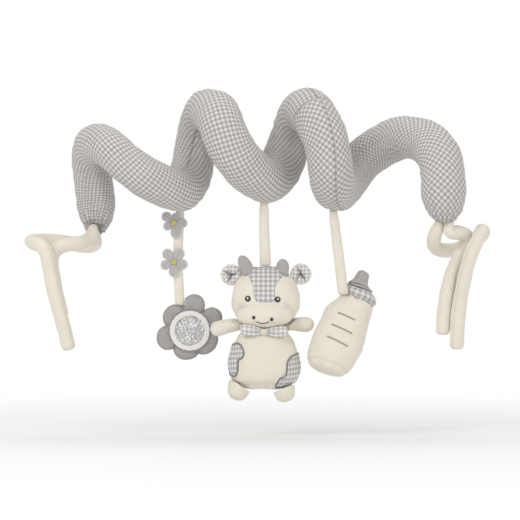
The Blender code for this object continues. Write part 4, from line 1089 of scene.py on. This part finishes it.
# the cow, in the frame of the hinge at the top of its head
cow = {
    "top": -0.0034, "headAside": 0.0011, "headBottom": 0.0548,
    "headWidth": 0.0612, "headDepth": 0.038, "headHeight": 0.0538,
    "headShares": (
        (0, 0), (0.02, 0.36), (0.08, 0.62), (0.18, 0.84), (0.32, 0.985), (0.46, 1.0), (0.62, 0.965),
        (0.76, 0.87), (0.88, 0.67), (0.955, 0.43), (0.99, 0.20), (1, 0),
    ),
    "muzzleSize": (0.0490, 0.0244, 0.0232), "muzzlePlace": (-0.0002, -0.0113, -0.0552),
    "muzzleBlend": 0.0060,
    "bodyWidth": 0.0634, "bodyDepth": 0.043, "bodyHeight": 0.0605, "bodyAside": -0.0002, "bodyDrop": 0.0500,
    "bodyShares": (
        (0, 0), (0.015, 0.42), (0.06, 0.72), (0.14, 0.91), (0.27, 0.99), (0.42, 1.0), (0.58, 0.94),
        (0.72, 0.82), (0.86, 0.66), (0.95, 0.48), (0.99, 0.25), (1, 0),
    ),
    # heights of the lumps and depths of the seams
    "headLump": 0.00035, "bodyLump": 0.0004, "seam": 0.0003, "muzzleSeam": 0.0004, "hem": 0.0004,
    "panel": (
        (-0.53, 1.10), (-0.53, 0.84), (-0.46, 0.60), (-0.385, 0.41), (-0.37, 0.20), (-0.34, 0.03),
        (-0.27, -0.11), (-0.16, -0.15), (0.14, -0.15), (0.24, -0.10), (0.265, 0.03), (0.265, 0.25),
        (0.29, 0.41), (0.42, 0.62), (0.53, 0.80), (0.53, 1.10),
    ),
    # each face part's distance apart, drop from the top and drop from left to right
    "faceAside": -0.0016, "eye": (0.0266, 0.0289, 0.0003), "nostril": (0.0160, 0.0460, 0.0008),
    "eyeRadius": 0.0027, "nostrilRadius": 0.0015, "lightRadius": 0.0008,
    "smileWidth": 0.0118, "smileSag": 0.0018, "smileDrop": 0.0487, "smileStroke": 0.0009,
    "leftPatch": (
        (-0.94, 0.31), (-0.84, 0.36), (-0.73, 0.37), (-0.63, 0.27), (-0.58, 0.10), (-0.62, -0.04),
        (-0.73, -0.13), (-0.745, -0.40), (-0.80, -0.57), (-0.90, -0.60), (-1.02, -0.48), (-1.10, -0.13),
        (-1.08, 0.16),
    ),
    "rightPatch": (
        (1.04, 0.04), (0.85, 0.03), (0.71, -0.06), (0.65, -0.21), (0.63, -0.46), (0.57, -0.60),
        (0.46, -0.65), (0.37, -0.79), (0.33, -0.91), (0.49, -1.01), (0.71, -0.97), (0.93, -0.82),
        (1.10, -0.43),
    ),
    "lift": 0.0007, "patchTilt": 0.06, "panelStroke": (0.0013, 0.0011), "patchStroke": (0.0016, 0.0011),
}
cowPlace = hinges["cow_twist"]
pink = (0.62, 0.47, 0.52)
cheeks = [(tuple(cowPlace + (x, -0.014, -0.0385)), 0.0062, 0.75, pink) for x in (-0.0195, 0.0185)]
cowCream = velour("cowVelour", (0.82, 0.777, 0.687), (0.93, 0.91, 0.87), blush=cheeks)
black = thread("blackThread", (0.045, 0.040, 0.042), 0.0004, 0.4)
greyThread = thread("greyThread", (0.25, 0.235, 0.225), 0.0004)
markThread = thread("markThread", (0.43, 0.395, 0.32), 0.0004)
whiteThread = thread("whiteThread", (0.86, 0.85, 0.83), 0.0003)


# the head: its ring's distance from the axis each way is blended with the muzzle's in a fillet k,
# far = head (1 - h) + muzzle h + k h (1 - h), and drawn in a little where the two meet
def headPoints():
    width, depth, height = cow["headWidth"], cow["headDepth"], cow["headHeight"]
    points, cloth, angle, z = stuffedRings(width, depth, height, cow["headShares"], 92, 160)
    points += (cow["headAside"], 0, cow["top"] - cow["headBottom"])
    flat = points[..., :2]
    far = np.linalg.norm(flat, axis=-1)
    way = flat / (far[..., None] + 1e-9)
    wide, deep, tall = np.array(cow["muzzleSize"]) / 2
    mx, my, mz = cow["muzzlePlace"]
    level = np.clip((points[..., 2] - (mz + cow["top"])) / tall - 1, -1, 1)
    size = np.sqrt(1 - np.abs(level) ** 2.3)
    a = (way[..., 0] / wide) ** 2 + (way[..., 1] / deep) ** 2
    b = way[..., 0] * mx / wide ** 2 + way[..., 1] * my / deep ** 2
    c = (mx / wide) ** 2 + (my / deep) ** 2 - size ** 2
    root = b ** 2 - a * c
    muzzle = np.where(root > 0, (b + np.sqrt(np.maximum(root, 0))) / a, 0)
    muzzle = np.maximum(muzzle, 0) * smoothStep(0, 0.3, size)
    k = cow["muzzleBlend"]
    h = np.clip(0.5 + (muzzle - far) / k / 2, 0, 1)
    both = far * (1 - h) + muzzle * h + k * h * (1 - h)
    seam = bell(far - muzzle, 0.0010) * smoothStep(0.2, 0.5, size) * (way[..., 1] < -0.1)
    low = smoothStep(0, 0.006, points[..., 2] - cow["top"] + cow["headBottom"])
    points[..., :2] = way * (both - cow["muzzleSeam"] * seam)[..., None]
    side = sideSeam(angle, 0.035) * smoothStep(0.05, 0.3, z) * smoothStep(1, 0.8, z)
    lift = cow["headLump"] * lumps(points, 0.016, 31) - cow["seam"] * side * low
    points += unit(gridNormals(points)) * lift[..., None]
    # the last value is painted shade in the muzzle's seam and the side seams
    return points + cowPlace, cloth, np.clip(seam * 0.22 + side * 0.18, 0, 1)


def bodyPoints():
    width, depth, height = cow["bodyWidth"], cow["bodyDepth"], cow["bodyHeight"]
    points, cloth, angle, z = stuffedRings(width, depth, height, cow["bodyShares"], 96, 168)
    points += (cow["bodyAside"], 0, cow["top"] - cow["bodyDrop"] - height)
    side = sideSeam(angle, 0.03) * smoothStep(0.05, 0.2, z)
    hem = bell(z - 0.085, 0.012)
    lift = cow["bodyLump"] * lumps(points, 0.02, 32) - cow["seam"] * side - cow["hem"] * hem
    # the last value is painted shade in the side seams and the hem
    return raised(points, lift), cloth, np.clip(side * 0.15 + hem * 0.3, 0, 1)


# the mesh of a stuffed body and the skin that it has when it is blown up, held by its seams
def stuffed(name, points, cloth, tint):
    # the tint is painted shade in the seams, and also how firmly the blowing holds each point
    mesh = closedMesh(name, points, cloth, seam=tint)
    return mesh, blowUp(mesh, tint * 3.5, 6)


# a closed smooth outline given as shares of a form's half width and height, as rows and angles
def outlineOn(skin, shares, halfWidth, halfHeight, x, z):
    line = through(shares, 14, True)
    wanted, level = line[:, 0] * halfWidth + x, np.maximum(line[:, 1], -0.93) * halfHeight + z
    wide = np.interp(level, skin.heights, np.ptp(skin.points[..., 0], axis=1) / 2)
    limit = np.where(line[:, 1] > 0.6, np.inf, 0.93 * wide)
    held = np.clip(wanted - x, -limit, limit) + x
    rows, angles = skin.facing(held, level)
    return rows, angles + (wanted - held) / halfWidth * 3.2


def discOn(skin, x, z, radius, count=40, stretch=1.0):
    around = circle(count)
    return skin.facing(x + radius * np.cos(around), z + radius * stretch * np.sin(around))


# cloth sewn on a skin within a closed outline of rows and angles: rings shrink to its middle in
# the plane of the rows round the top pole, across = far sin(angle), down = far cos(angle). The
# front stands off by the lift, sinks at the rim, and the back lies just under the skin. Its own
# cloth is laid from the skin's, wider by a share of its depth
def makeSewn(name, skin, outline, lift, finish, slot, *stands, rings=14, tilt=0.0, deeper=0.8):
    rows, angles = outline
    top = len(skin.points)
    across, down = (top - rows) * np.sin(angles), (top - rows) * np.cos(angles)
    s = np.concatenate([np.linspace(0.04, 1, rings), np.linspace(1, 0.04, 6)])[:, None]
    front = lift * (1 - smoothStep(0.82, 1.02, s)) + 0.00005
    front[rings:] = -0.0002
    across, down = across.mean() + s * (across - across.mean()), down.mean() + s * (down - down.mean())
    row, angle = top - np.hypot(across, down), np.arctan2(across, down)
    points = skin.at(row, angle, front + 0 * row)
    meridian = lengthsAlong(skin.points[:, skin.points.shape[1] // 2])
    u = points[..., 0] - cowPlace[0]
    u = u + np.sign(u) * (points[..., 1] - points[..., 1].min()) * deeper
    v = np.interp(row, np.arange(len(meridian)), meridian)
    sine, cosine = math.sin(tilt), math.cos(tilt)
    cloth = wrapped(np.stack([u * cosine + v * sine, v * cosine - u * sine], axis=-1))
    # painted shade at the sewn rim
    mesh = closedMesh(name, points, cloth, seam=smoothStep(0.93, 1, s) * 0.4)
    addPiece(mesh, "cow", finish, slot, *stands)


def makeHeadAndBody():
    half, high = cow["headWidth"] / 2, cow["headHeight"] / 2
    mesh, blown = stuffed("cowHead", *headPoints())
    addPiece(mesh, "cow", cowCream, "cream_velour", "cow_head", "cow_muzzle", fill=0.9)
    head = Skin(blown)
    lifted = head.grown(0.00085)
    x, top = cowPlace[0] + cow["headAside"], cowPlace[2] + cow["top"]

    outline = outlineOn(head, cow["panel"], half, high, x, top - cow["headBottom"] + high)
    makeSewn("foreheadPanel", head, outline, cow["lift"], softCheck, "grey_gingham", "cow_forehead_panel",
             rings=30, deeper=0)
    rows, angles = head.facing(x + np.linspace(-0.50, 0.50, 90) * half, np.full(90, top))
    points, cloth = stitched(head, rows, angles, *cow["panelStroke"])
    addPiece(closedMesh("panelSeam", points, cloth), "cow", greyThread, "grey_thread")

    for side, sign in (("left", -1), ("right", 1)):
        (x, z), (noseX, noseZ) = (
            (cowPlace[0] + cow["faceAside"] + sign * apart / 2, top - drop - sign * tilt)
            for apart, drop, tilt in (cow["eye"], cow["nostril"])
        )
        outline = discOn(head, x, z, cow["eyeRadius"])
        makeSewn(side + "Eye", head, outline, 0.0009, black, "black_thread", f"cow_{side}_eye")
        outline = discOn(head, x + 0.0002, z + 0.0004, cow["lightRadius"], 24, 1.35)
        makeSewn(side + "EyeLight", lifted, outline, 0.0004, whiteThread, "white_velour")
        outline = discOn(head, noseX, noseZ, cow["nostrilRadius"], 28, 1.1)
        makeSewn(side + "Nostril", head, outline, cow["lift"], black, "black_thread", f"cow_{side}_nostril")
    across = np.linspace(-1, 1, 60)
    x = cowPlace[0] + cow["faceAside"] + cow["smileWidth"] / 2 * across
    rows, angles = head.facing(x, top - cow["smileDrop"] - cow["smileSag"] * (1 - across ** 2))
    points, cloth = stitched(head, rows, angles, cow["smileStroke"], 0.0006)
    addPiece(closedMesh("cowSmile", points, cloth), "cow", black, "black_thread", "cow_smile")

    points, cloth, tint = bodyPoints()
    points = keptClear(points, [head], 0.0002, cowPlace) + cowPlace
    mesh, blown = stuffed("cowBody", points, cloth, tint)
    body = Skin(keptClear(blown, [head], 0.0002))
    addPiece(mesh, "cow", cream, "cream_velour", "cow_body", fill=0.9)
    half, high = cow["bodyWidth"] / 2, cow["bodyHeight"] / 2
    x, z = cowPlace[0] + cow["bodyAside"], top - cow["bodyDrop"] - high
    for side in ("left", "right"):
        outline = outlineOn(body, cow[side + "Patch"], half, high, x, z)
        makeSewn(side + "Patch", body, outline, cow["lift"], softCheck, "grey_gingham", f"cow_{side}_patch",
                 rings=20, tilt=cow["patchTilt"])
        points, cloth = stitched(body, *outline, *cow["patchStroke"], closed=True)
        mesh = closedMesh(side + "PatchEdge", points, cloth, welded=True)
        addPiece(mesh, "cow", greyThread, "grey_thread")
    return head, body


headSkin, bodySkin = makeHeadAndBody()
print("cow's head and body made")


# ears, horns, bow and limbs
limbs = {
    "ears": {"left": (-0.0300, -0.0076), "right": (0.0326, -0.0070)},
    "earRadius": 0.0095, "earThickness": 0.0075,
    "creases": {"left": (152, 10, 262), "right": (115, 215, 322)}, "folding": {"left": 1, "right": 2.3},
    "foldDeep": 0.0016, "creaseDeep": 0.0013, "creaseWidth": 0.0008,
    # across, up, lean and length of each horn
    "horns": {"left": (-0.0118, -0.0112, -0.46, 0.0232), "right": (0.0150, -0.0122, 0.10, 0.0192)},
    "hornWidth": 0.0122, "hornForward": 0.0050,
    "hornShares": ((0, 0), (0.02, 0.45), (0.2, 0.9), (0.5, 1.0), (0.78, 0.85), (0.95, 0.45), (1, 0)),
    "bowSize": (0.0430, 0.0090, 0.0106), "bowPlace": (-0.0006, -0.0165, -0.0582), "bowPleat": 0.0007,
    "bowRise": 0.0012, "bowTilt": 0.0012, "knot": 0.0033, "knotGather": 0.00025,
    "bowShares": (
        (0, 0), (0.012, 0.5), (0.05, 0.86), (0.14, 1.0), (0.28, 0.84), (0.42, 0.52), (0.5, 0.45),
        (0.58, 0.52), (0.72, 0.84), (0.86, 1.0), (0.95, 0.86), (0.988, 0.5), (1, 0),
    ),
    "knotShares": (
        (0, 0), (0.03, 0.34), (0.15, 0.71), (0.32, 0.93), (0.5, 1.0), (0.68, 0.93), (0.85, 0.71),
        (0.97, 0.34), (1, 0),
    ),
    "lengths": {"left_arm": 0.0345, "right_arm": 0.0333, "left_leg": 0.0290, "right_leg": 0.0300},
    "arm": 0.0135, "armSink": 0.0045, "leg": 0.0206, "lump": 0.0003, "seam": 0.00035,
    "armShares": (
        (0, 0), (0.03, 0.50), (0.1, 0.83), (0.24, 0.95), (0.5, 0.96), (0.72, 1.0), (0.86, 0.93),
        (0.96, 0.56), (1, 0),
    ),
    "legShares": (
        (0, 0), (0.03, 0.42), (0.12, 0.76), (0.3, 0.95), (0.5, 1.0), (0.72, 0.97), (0.88, 0.76),
        (0.97, 0.4), (1, 0),
    ),
    "ways": {
        "left_arm": (-1.0, -0.26, -0.37), "right_arm": (1.0, 0.10, -0.20),
        "left_leg": (-0.10, -0.32, -1.0), "right_leg": (0.06, -0.32, -1.0),
    },
}


# stands on the root with its Z along the way
def aimed(root, way):
    turn = Vector((0, 0, 1)).rotation_difference(Vector(way))
    return Matrix.Translation(root) @ turn.to_matrix().to_4x4()


# a gathered round: its front is drawn in at the middle in folds, its rim and back are cream
def makeEar(side):
    x, z = limbs["ears"][side]
    angle = circle(120)
    rings = 34
    s = np.concatenate([np.linspace(0.03, 1, rings), np.linspace(1, 0.03, 20)[1:]])[:, None]
    isFront = (np.arange(len(s)) < rings)[:, None]
    r, half = limbs["earRadius"], limbs["earThickness"] / 2
    fold = np.sin(5 * angle + limbs["folding"][side] + 3 * s) * np.sin(2 * angle + 1)
    gather = (1 - smoothStep(0.2, 0.95, s)) * smoothStep(0, 0.12, s)
    rim = smoothStep(0.4, 0.8, s) * (1 - smoothStep(0.9, 1, s))
    outer = np.sqrt(np.clip(1 - ((s - 0.62) / 0.40) ** 2, 0, 1))
    dome = np.where(s > 0.62, outer, 0.35 + 0.65 * smoothStep(0, 0.62, s))
    front = limbs["foldDeep"] * fold * (gather + rim / 4) - half * dome
    y = np.where(isFront, front, half * np.sqrt(1 - s ** 3) * 0.95)
    points = polar(s * r * (1 + 0.010 * np.sin(7 * angle + 1) * s), angle, y)
    cloth = seenFlat(points) * 1.25 + 0.3
    points += 0.00025 * lumps(points, 0.007, 41)[..., None] * unit(points)
    crease = 0 * fold
    for number, degrees in enumerate(limbs["creases"][side]):
        off = angle - math.radians(degrees) - 0.5 * math.sin(number * 2.1) * s
        off = (off + math.pi) % (2 * math.pi) - math.pi
        one = bell(off * s * r, limbs["creaseWidth"]) * smoothStep(0.92, 0.5, s) * (np.abs(off) < 1.2)
        crease = np.maximum(crease, one * isFront)
    points[..., 1] += limbs["creaseDeep"] * crease
    points = keptClear(points + cowPlace + (x, 0, z + cow["top"]), [headSkin], 0.0003)
    # painted shade in the creases
    mesh = closedMesh(side + "Ear", points, cloth, seam=np.clip(crease * 1.2, 0, 1))
    # the quads of the front and its pole are check, the rim and the back are cream
    columns = len(angle)
    index = np.zeros(len(mesh.polygons), np.int32)
    index[(rings - 4) * columns:] = 1
    index[(len(s) - 1) * columns:len(s) * columns] = 0
    mesh.polygons.foreach_set("material_index", index)
    addPiece(mesh, "cow", paleCheck, "grey_gingham", f"cow_{side}_ear", fill=0.7, extra=[cream])


def makeHorn(side):
    x, z, lean, length = limbs["horns"][side]
    width = limbs["hornWidth"]
    points, cloth, angle, _ = stuffedRings(width, width / 2, length, limbs["hornShares"], 44, 64)
    edge = sideSeam(angle, 0.10)
    points = raised(points, 0.0002 * lumps(points, 0.008, 42) - 0.0003 * edge)
    root = cowPlace + (x, -limbs["hornForward"], z + cow["top"])
    points = keptClear(laid(points, aimed(root, (lean, 0.12, 1))), [headSkin.grown(0.0006)], 0.0001)
    # painted shade in the side seam
    mesh = closedMesh(side + "Horn", points, cloth, seam=edge * 0.4, trim=0)
    addPiece(mesh, "cow", greyFelt, "grey_felt", f"cow_{side}_horn", fill=0.5)


def makeBow():
    width, depth, height = limbs["bowSize"]
    points, cloth, angle, share = stuffedRings(height, depth, width, limbs["bowShares"], 110, 72)
    fromKnot = np.abs(share - 0.5) * 2
    pleats = np.sin(7 * angle + 2 * np.sin(2 * angle))
    pleats = pleats * smoothStep(0.95, 0.1, fromKnot) * smoothStep(0, 0.12, fromKnot)
    points = raised(points, limbs["bowPleat"] * pleats + 0.0003 * lumps(points, 0.008, 43))
    points = laid(points, Matrix.Translation((-width / 2, 0, 0)) @ Matrix.Rotation(math.pi / 2, 4, "Y"))
    out = points[..., 0] / width * 2
    points[..., 2] += limbs["bowRise"] * out ** 2 - limbs["bowTilt"] * out
    x, y, z = limbs["bowPlace"]
    middle = cowPlace + (x, y, z + cow["top"])
    points = keptClear(points + middle, [headSkin, bodySkin], 0.0003)
    # painted shade between the pleats
    mesh = closedMesh("cowBow", points, cloth, seam=foldShade(pleats, 0.6))
    addPiece(mesh, "cow", paleCheck, "grey_gingham", "cow_bow", fill=0.4)

    r = limbs["knot"]
    knot, cloth, angle, share = stuffedRings(2 * r, 2 * r, 2 * r, limbs["knotShares"], 30, 48)
    gathers = np.sin(9 * angle) * smoothStep(0, 0.5, 1 - np.abs(share - 0.5) * 2)
    knot = raised(knot, limbs["knotGather"] * gathers)
    knot = (knot - (0, 0, r)) * (1, 0.8, 0.85) + middle - (0, r / 2, 0)
    knot = keptClear(knot, [Skin(points), headSkin, bodySkin], 0.0002)
    # painted shade between the gathers
    mesh = closedMesh("bowKnot", knot, cloth, seam=foldShade(gathers, 0.4))
    addPiece(mesh, "cow", cream, "cream_velour", "cow_bow_knot", fill=0.8)


def makeLimb(name):
    left, kind = name.startswith("left"), name.split("_")[1]
    arm = kind == "arm"
    width, length = limbs[kind], limbs["lengths"][name]
    points, cloth, angle, share = stuffedRings(width, width, length, limbs[kind + "Shares"], 56, 72)
    side = sideSeam(angle, 0.09) * smoothStep(0, 0.1, share)
    points = raised(points, limbs["lump"] * lumps(points, 0.012, 44 + len(name)) - limbs["seam"] * side)
    joint = f"cow_{name}_flap"
    hinge = hinges[joint]
    way = np.array(Vector(limbs["ways"][name]).normalized())
    points = laid(points, aimed(hinge - way * width / (2 if arm else 4), way))
    angles = np.linspace(*turnsOf[joint], 4 if arm else 3)
    if arm:
        points[..., 2] -= limbs["armSink"] * (1 - share) ** 2
        near, axis = [bodySkin.grown(0.0003), headSkin.grown(0.0008)], "Z"
        angles = angles if left else -angles
    else:
        near, axis = [bodySkin.grown(0.0014)], "X"
    points = drawnOut(points, way, near, hinge, axis, [*angles, 0])
    # painted shade in the side seam
    mesh = closedMesh(("left" if left else "right") + kind.title(), points, cloth, seam=side * 0.25)
    addPiece(mesh, f"cow_{name}", cream, "cream_velour", f"cow_{name}", fill=0.85)


for side in ("left", "right"):
    makeEar(side)
    makeHorn(side)
makeBow()
for limb in limbs["ways"]:
    makeLimb(limb)
print("cow made")


# the bottle, built upright on its base and then leant right and back
bottle = {
    "width": 0.0452, "length": 0.071, "depthShare": 0.82, "lean": 19.5, "tipBack": 16,
    "baseFromStrap": (-0.0167, -0.0090, -0.0718), "gap": 0.0003,
    "shares": (
        (0, 0), (0.0, 0.30), (0.005, 0.50), (0.04, 0.75), (0.14, 0.92), (0.30, 0.985), (0.50, 0.99),
        (0.70, 0.93), (0.86, 0.87), (0.95, 0.84), (0.995, 0.78), (1.0, 0.5), (1, 0),
    ),
    "widen": 1.03, "aside": -0.0006, "slope": 0.0068, "tuck": 0.0026,
    "lump": 0.0004, "seam": 0.0004, "seamAngle": 0.37 * math.pi, "puff": 0.0005, "arc": 0.0002,
    # the gingham roll round the neck, the flat collar on it and the teat
    "bandWidth": 0.0345, "bandHeight": 0.0108, "bandAside": 0.0026, "puckers": 26, "pucker": 0.0003,
    "bandShares": (
        (0, 0), (0.0, 0.5), (0.03, 0.88), (0.25, 1.0), (0.55, 0.97), (0.82, 0.82), (0.97, 0.62),
        (1.0, 0.4), (1, 0),
    ),
    "collarWidth": 0.0236, "collarHeight": 0.0022, "teatWidth": 0.0150, "teatHeight": 0.0150,
    "collarShares": ((0, 0), (0, 0.92), (0.25, 0.985), (0.5, 1), (0.75, 0.985), (1, 0.92), (1, 0)),
    "teatShares": (
        (0, 0), (0.0, 1.2), (0.03, 1.38), (0.12, 1.2), (0.3, 0.92), (0.6, 0.82), (0.8, 0.76),
        (0.94, 0.5), (1, 0),
    ),
    # height, width and slope of each mark
    "marks": {
        "low": (0.0277, 0.0210, 0.13), "middle": (0.0395, 0.0206, 0.10), "high": (0.0517, 0.0173, 0.08),
    },
    "stroke": 0.0017,
}


# behind the strap's end a piece is pressed back, wherever the bottle twists
def pressedBack(points, hinge):
    x, y, z = np.moveaxis(points - hinge, -1, 0)
    half = straps["thickness"] / 2
    back = half + 0.0005 + np.abs(x) * 0.28
    far = np.maximum(np.abs(x - straps["bottle"]["aside"][1]) - straps["width"] / 2, 0)
    press = (1 - smoothStep(0, 0.0035, far)) * smoothStep(-half - 0.003, -half, z)
    inFront = (y < back) & (y > -0.02)
    y = np.where(inFront, y + (back - y) * press, y)
    return np.stack([x, y, z], axis=-1) + hinge


def makeBottle():
    hinge = hinges["bottle_twist"]
    stand = (
        Matrix.Translation(hinge) @ Matrix.Translation(bottle["baseFromStrap"])
        @ Matrix.Rotation(-math.radians(bottle["tipBack"]), 4, "X")
        @ Matrix.Rotation(math.radians(bottle["lean"]), 4, "Y")
    )
    width, length, share = bottle["width"], bottle["length"], bottle["depthShare"]
    points, cloth, angle, z = stuffedRings(width, width * share, length, bottle["shares"], 104, 144)
    fromSeam = angle - bottle["seamAngle"]
    side, puff = bell(fromSeam, 0.035) * smoothStep(0.14, 0.30, z), bell(fromSeam + 0.08, 0.05)
    arc = bell(z - 0.075 - 0.02 * np.cos(angle), 0.012)
    points = raised(points, (
        bottle["lump"] * lumps(points, 0.022, 51) - bottle["seam"] * side
        - bottle["arc"] * arc + bottle["puff"] * puff * smoothStep(0.14, 0.30, z)
    ))
    points = points * (bottle["widen"], 1, 1) + (bottle["aside"], 0, 0)
    x = points[..., 0]
    x += bottle["slope"] * smoothStep(0.74, 1, z) ** 1.3 * smoothStep(0.004, -0.016, x)
    x -= bottle["tuck"] * smoothStep(0.45, 0.05, z) * smoothStep(-0.002, 0.016, x)
    # painted shade in the side seam and the base's arc seam
    mesh = closedMesh("bottleBody", points, cloth, seam=np.clip(side * 0.25 + arc * 0.1, 0, 1))
    skin = Skin(blowUp(mesh, side + arc, 8))
    for name, (height, wide, slope) in bottle["marks"].items():
        across = np.linspace(-wide / 2, wide / 2, 70)
        rows, angles = skin.facing(across, height - slope * (across + wide / 2))
        points, flat = stitched(skin, rows, angles, bottle["stroke"], 0.0006)
        mark = closedMesh(name + "Mark", laid(points, stand), flat)
        addPiece(mark, "bottle", markThread, "grey_thread", f"bottle_{name}_mark")
    setCoords(mesh, pressedBack(laid(coordsOf(mesh), stand), hinge))
    addPiece(mesh, "bottle", cream, "cream_velour", "bottle_body", fill=0.9)

    top = length + bottle["gap"]
    width, height, aside = bottle["bandWidth"], bottle["bandHeight"], bottle["bandAside"]
    points, cloth, angle, z = stuffedRings(width, width * share, height, bottle["bandShares"], 46, 132)
    puckers = np.sin(bottle["puckers"] * angle + 2 * np.sin(3 * angle))
    puckers = puckers * (1 - smoothStep(0.0, 0.35, z) * smoothStep(1, 0.7, z))
    points = raised(points, bottle["pucker"] * puckers + 0.0003 * lumps(points, 0.012, 52))
    points = pressedBack(laid(points + (aside, 0, top), stand), hinge)
    # painted shade between the puckers
    mesh = closedMesh("bottleRing", points, cloth * 0.82, seam=foldShade(puckers, 0.35))
    addPiece(mesh, "bottle", softCheck, "grey_gingham", "bottle_ring", fill=0.8)

    top += height + bottle["gap"]
    width, height = bottle["collarWidth"], bottle["collarHeight"]
    points, cloth, _, _ = stuffedRings(width, width * share, height, bottle["collarShares"], 30, 96)
    mesh = closedMesh("bottleCollar", laid(points + (aside * 0.6, 0, top), stand), cloth, trim=0, seam=0)
    addPiece(mesh, "bottle", greyFelt, "grey_felt", "bottle_collar")

    top += height + bottle["gap"]
    width, height = bottle["teatWidth"], bottle["teatHeight"]
    points, cloth, angle, _ = stuffedRings(width, width, height, bottle["teatShares"], 52, 80)
    edge = sideSeam(angle, 0.07)
    points = raised(points, 0.00025 * lumps(points, 0.008, 53) - 0.0003 * edge) + (aside * 0.1, 0, top)
    # painted shade in the side seam
    mesh = closedMesh("bottleTeat", laid(points, stand), cloth, seam=edge * 0.3, trim=0)
    addPiece(mesh, "bottle", greyFelt, "grey_felt", "bottle_teat", fill=0.7)


makeBottle()
print("bottle made")


# floor, backdrop and light
room = {
    "floor": -0.262, "size": 3.0, "near": 0.30, "far": 0.75, "world": 0.66,
    # place, size and power of each lamp
    "lamps": {
        "key": ((-0.9, -1.2, 0.9), 0.9, 9.5), "fill": ((1.1, -1.0, 0.1), 1.1, 4.2),
        "top": ((0.1, 0.3, 1.2), 1.0, 3.8),
    },
}


def makeRoom():
    mesh = bpy.data.meshes.new("floor")
    x, z = room["size"], room["floor"]
    mesh.from_pydata([(-x, -x, z), (x, -x, z), (x, x, z), (-x, x, z)], [], [(0, 1, 2, 3)])
    placed("floor", mesh)
    # the floor turns to plain white light where it is far, for the camera and in reflections
    finish = Finish("floorPaper", Base_Color=(0.92, 0.92, 0.92, 1), Roughness=0.9)
    light = finish.add("ShaderNodeLightPath")
    far = finish.add("ShaderNodeVectorMath", {"operation": "LENGTH"}, {0: finish.place()}, 1)
    share = ((far - room["near"]) / (room["far"] - room["near"])).limited()
    share = share * finish.greater(light, light.beside("Is Glossy Ray"))
    glow = finish.add("ShaderNodeEmission", {}, {"Color": (1.0, 1.0, 1.0), "Strength": 1.0})
    surface = Wire(finish, finish.surface.outputs[0])
    mix = finish.add("ShaderNodeMixShader", {}, {0: share, 1: surface, 2: glow})
    finish.tree.links.new(mix.socket, finish.tree.nodes["Material Output"].inputs["Surface"])
    mesh.materials.append(finish.material)

    world = bpy.data.worlds.new("studio")
    scene.world = world
    world.use_nodes = True
    nodes = Nodes(world.node_tree)
    path = nodes.add("ShaderNodeLightPath")
    seen = nodes.greater(path, path.beside("Is Transmission Ray"))
    strength = nodes.add("ShaderNodeMix", {"data_type": "FLOAT"}, {0: seen, 2: room["world"], 3: 1.0})
    back = nodes.tree.nodes["Background"]
    nodes.tree.links.new(strength.socket, back.inputs["Strength"])
    back.inputs["Color"].default_value = (1, 1, 1, 1)

    for name, (place, size, power) in room["lamps"].items():
        data = bpy.data.lights.new(name, "AREA")
        data.size, data.energy = size, power
        lamp = placed(name, data)
        lamp.location = place
        lamp.rotation_euler = (Vector(view["centre"]) - Vector(place)).to_track_quat("-Z", "Y").to_euler()


makeRoom()
scene.view_settings.view_transform = "Standard"
print("scene ready")
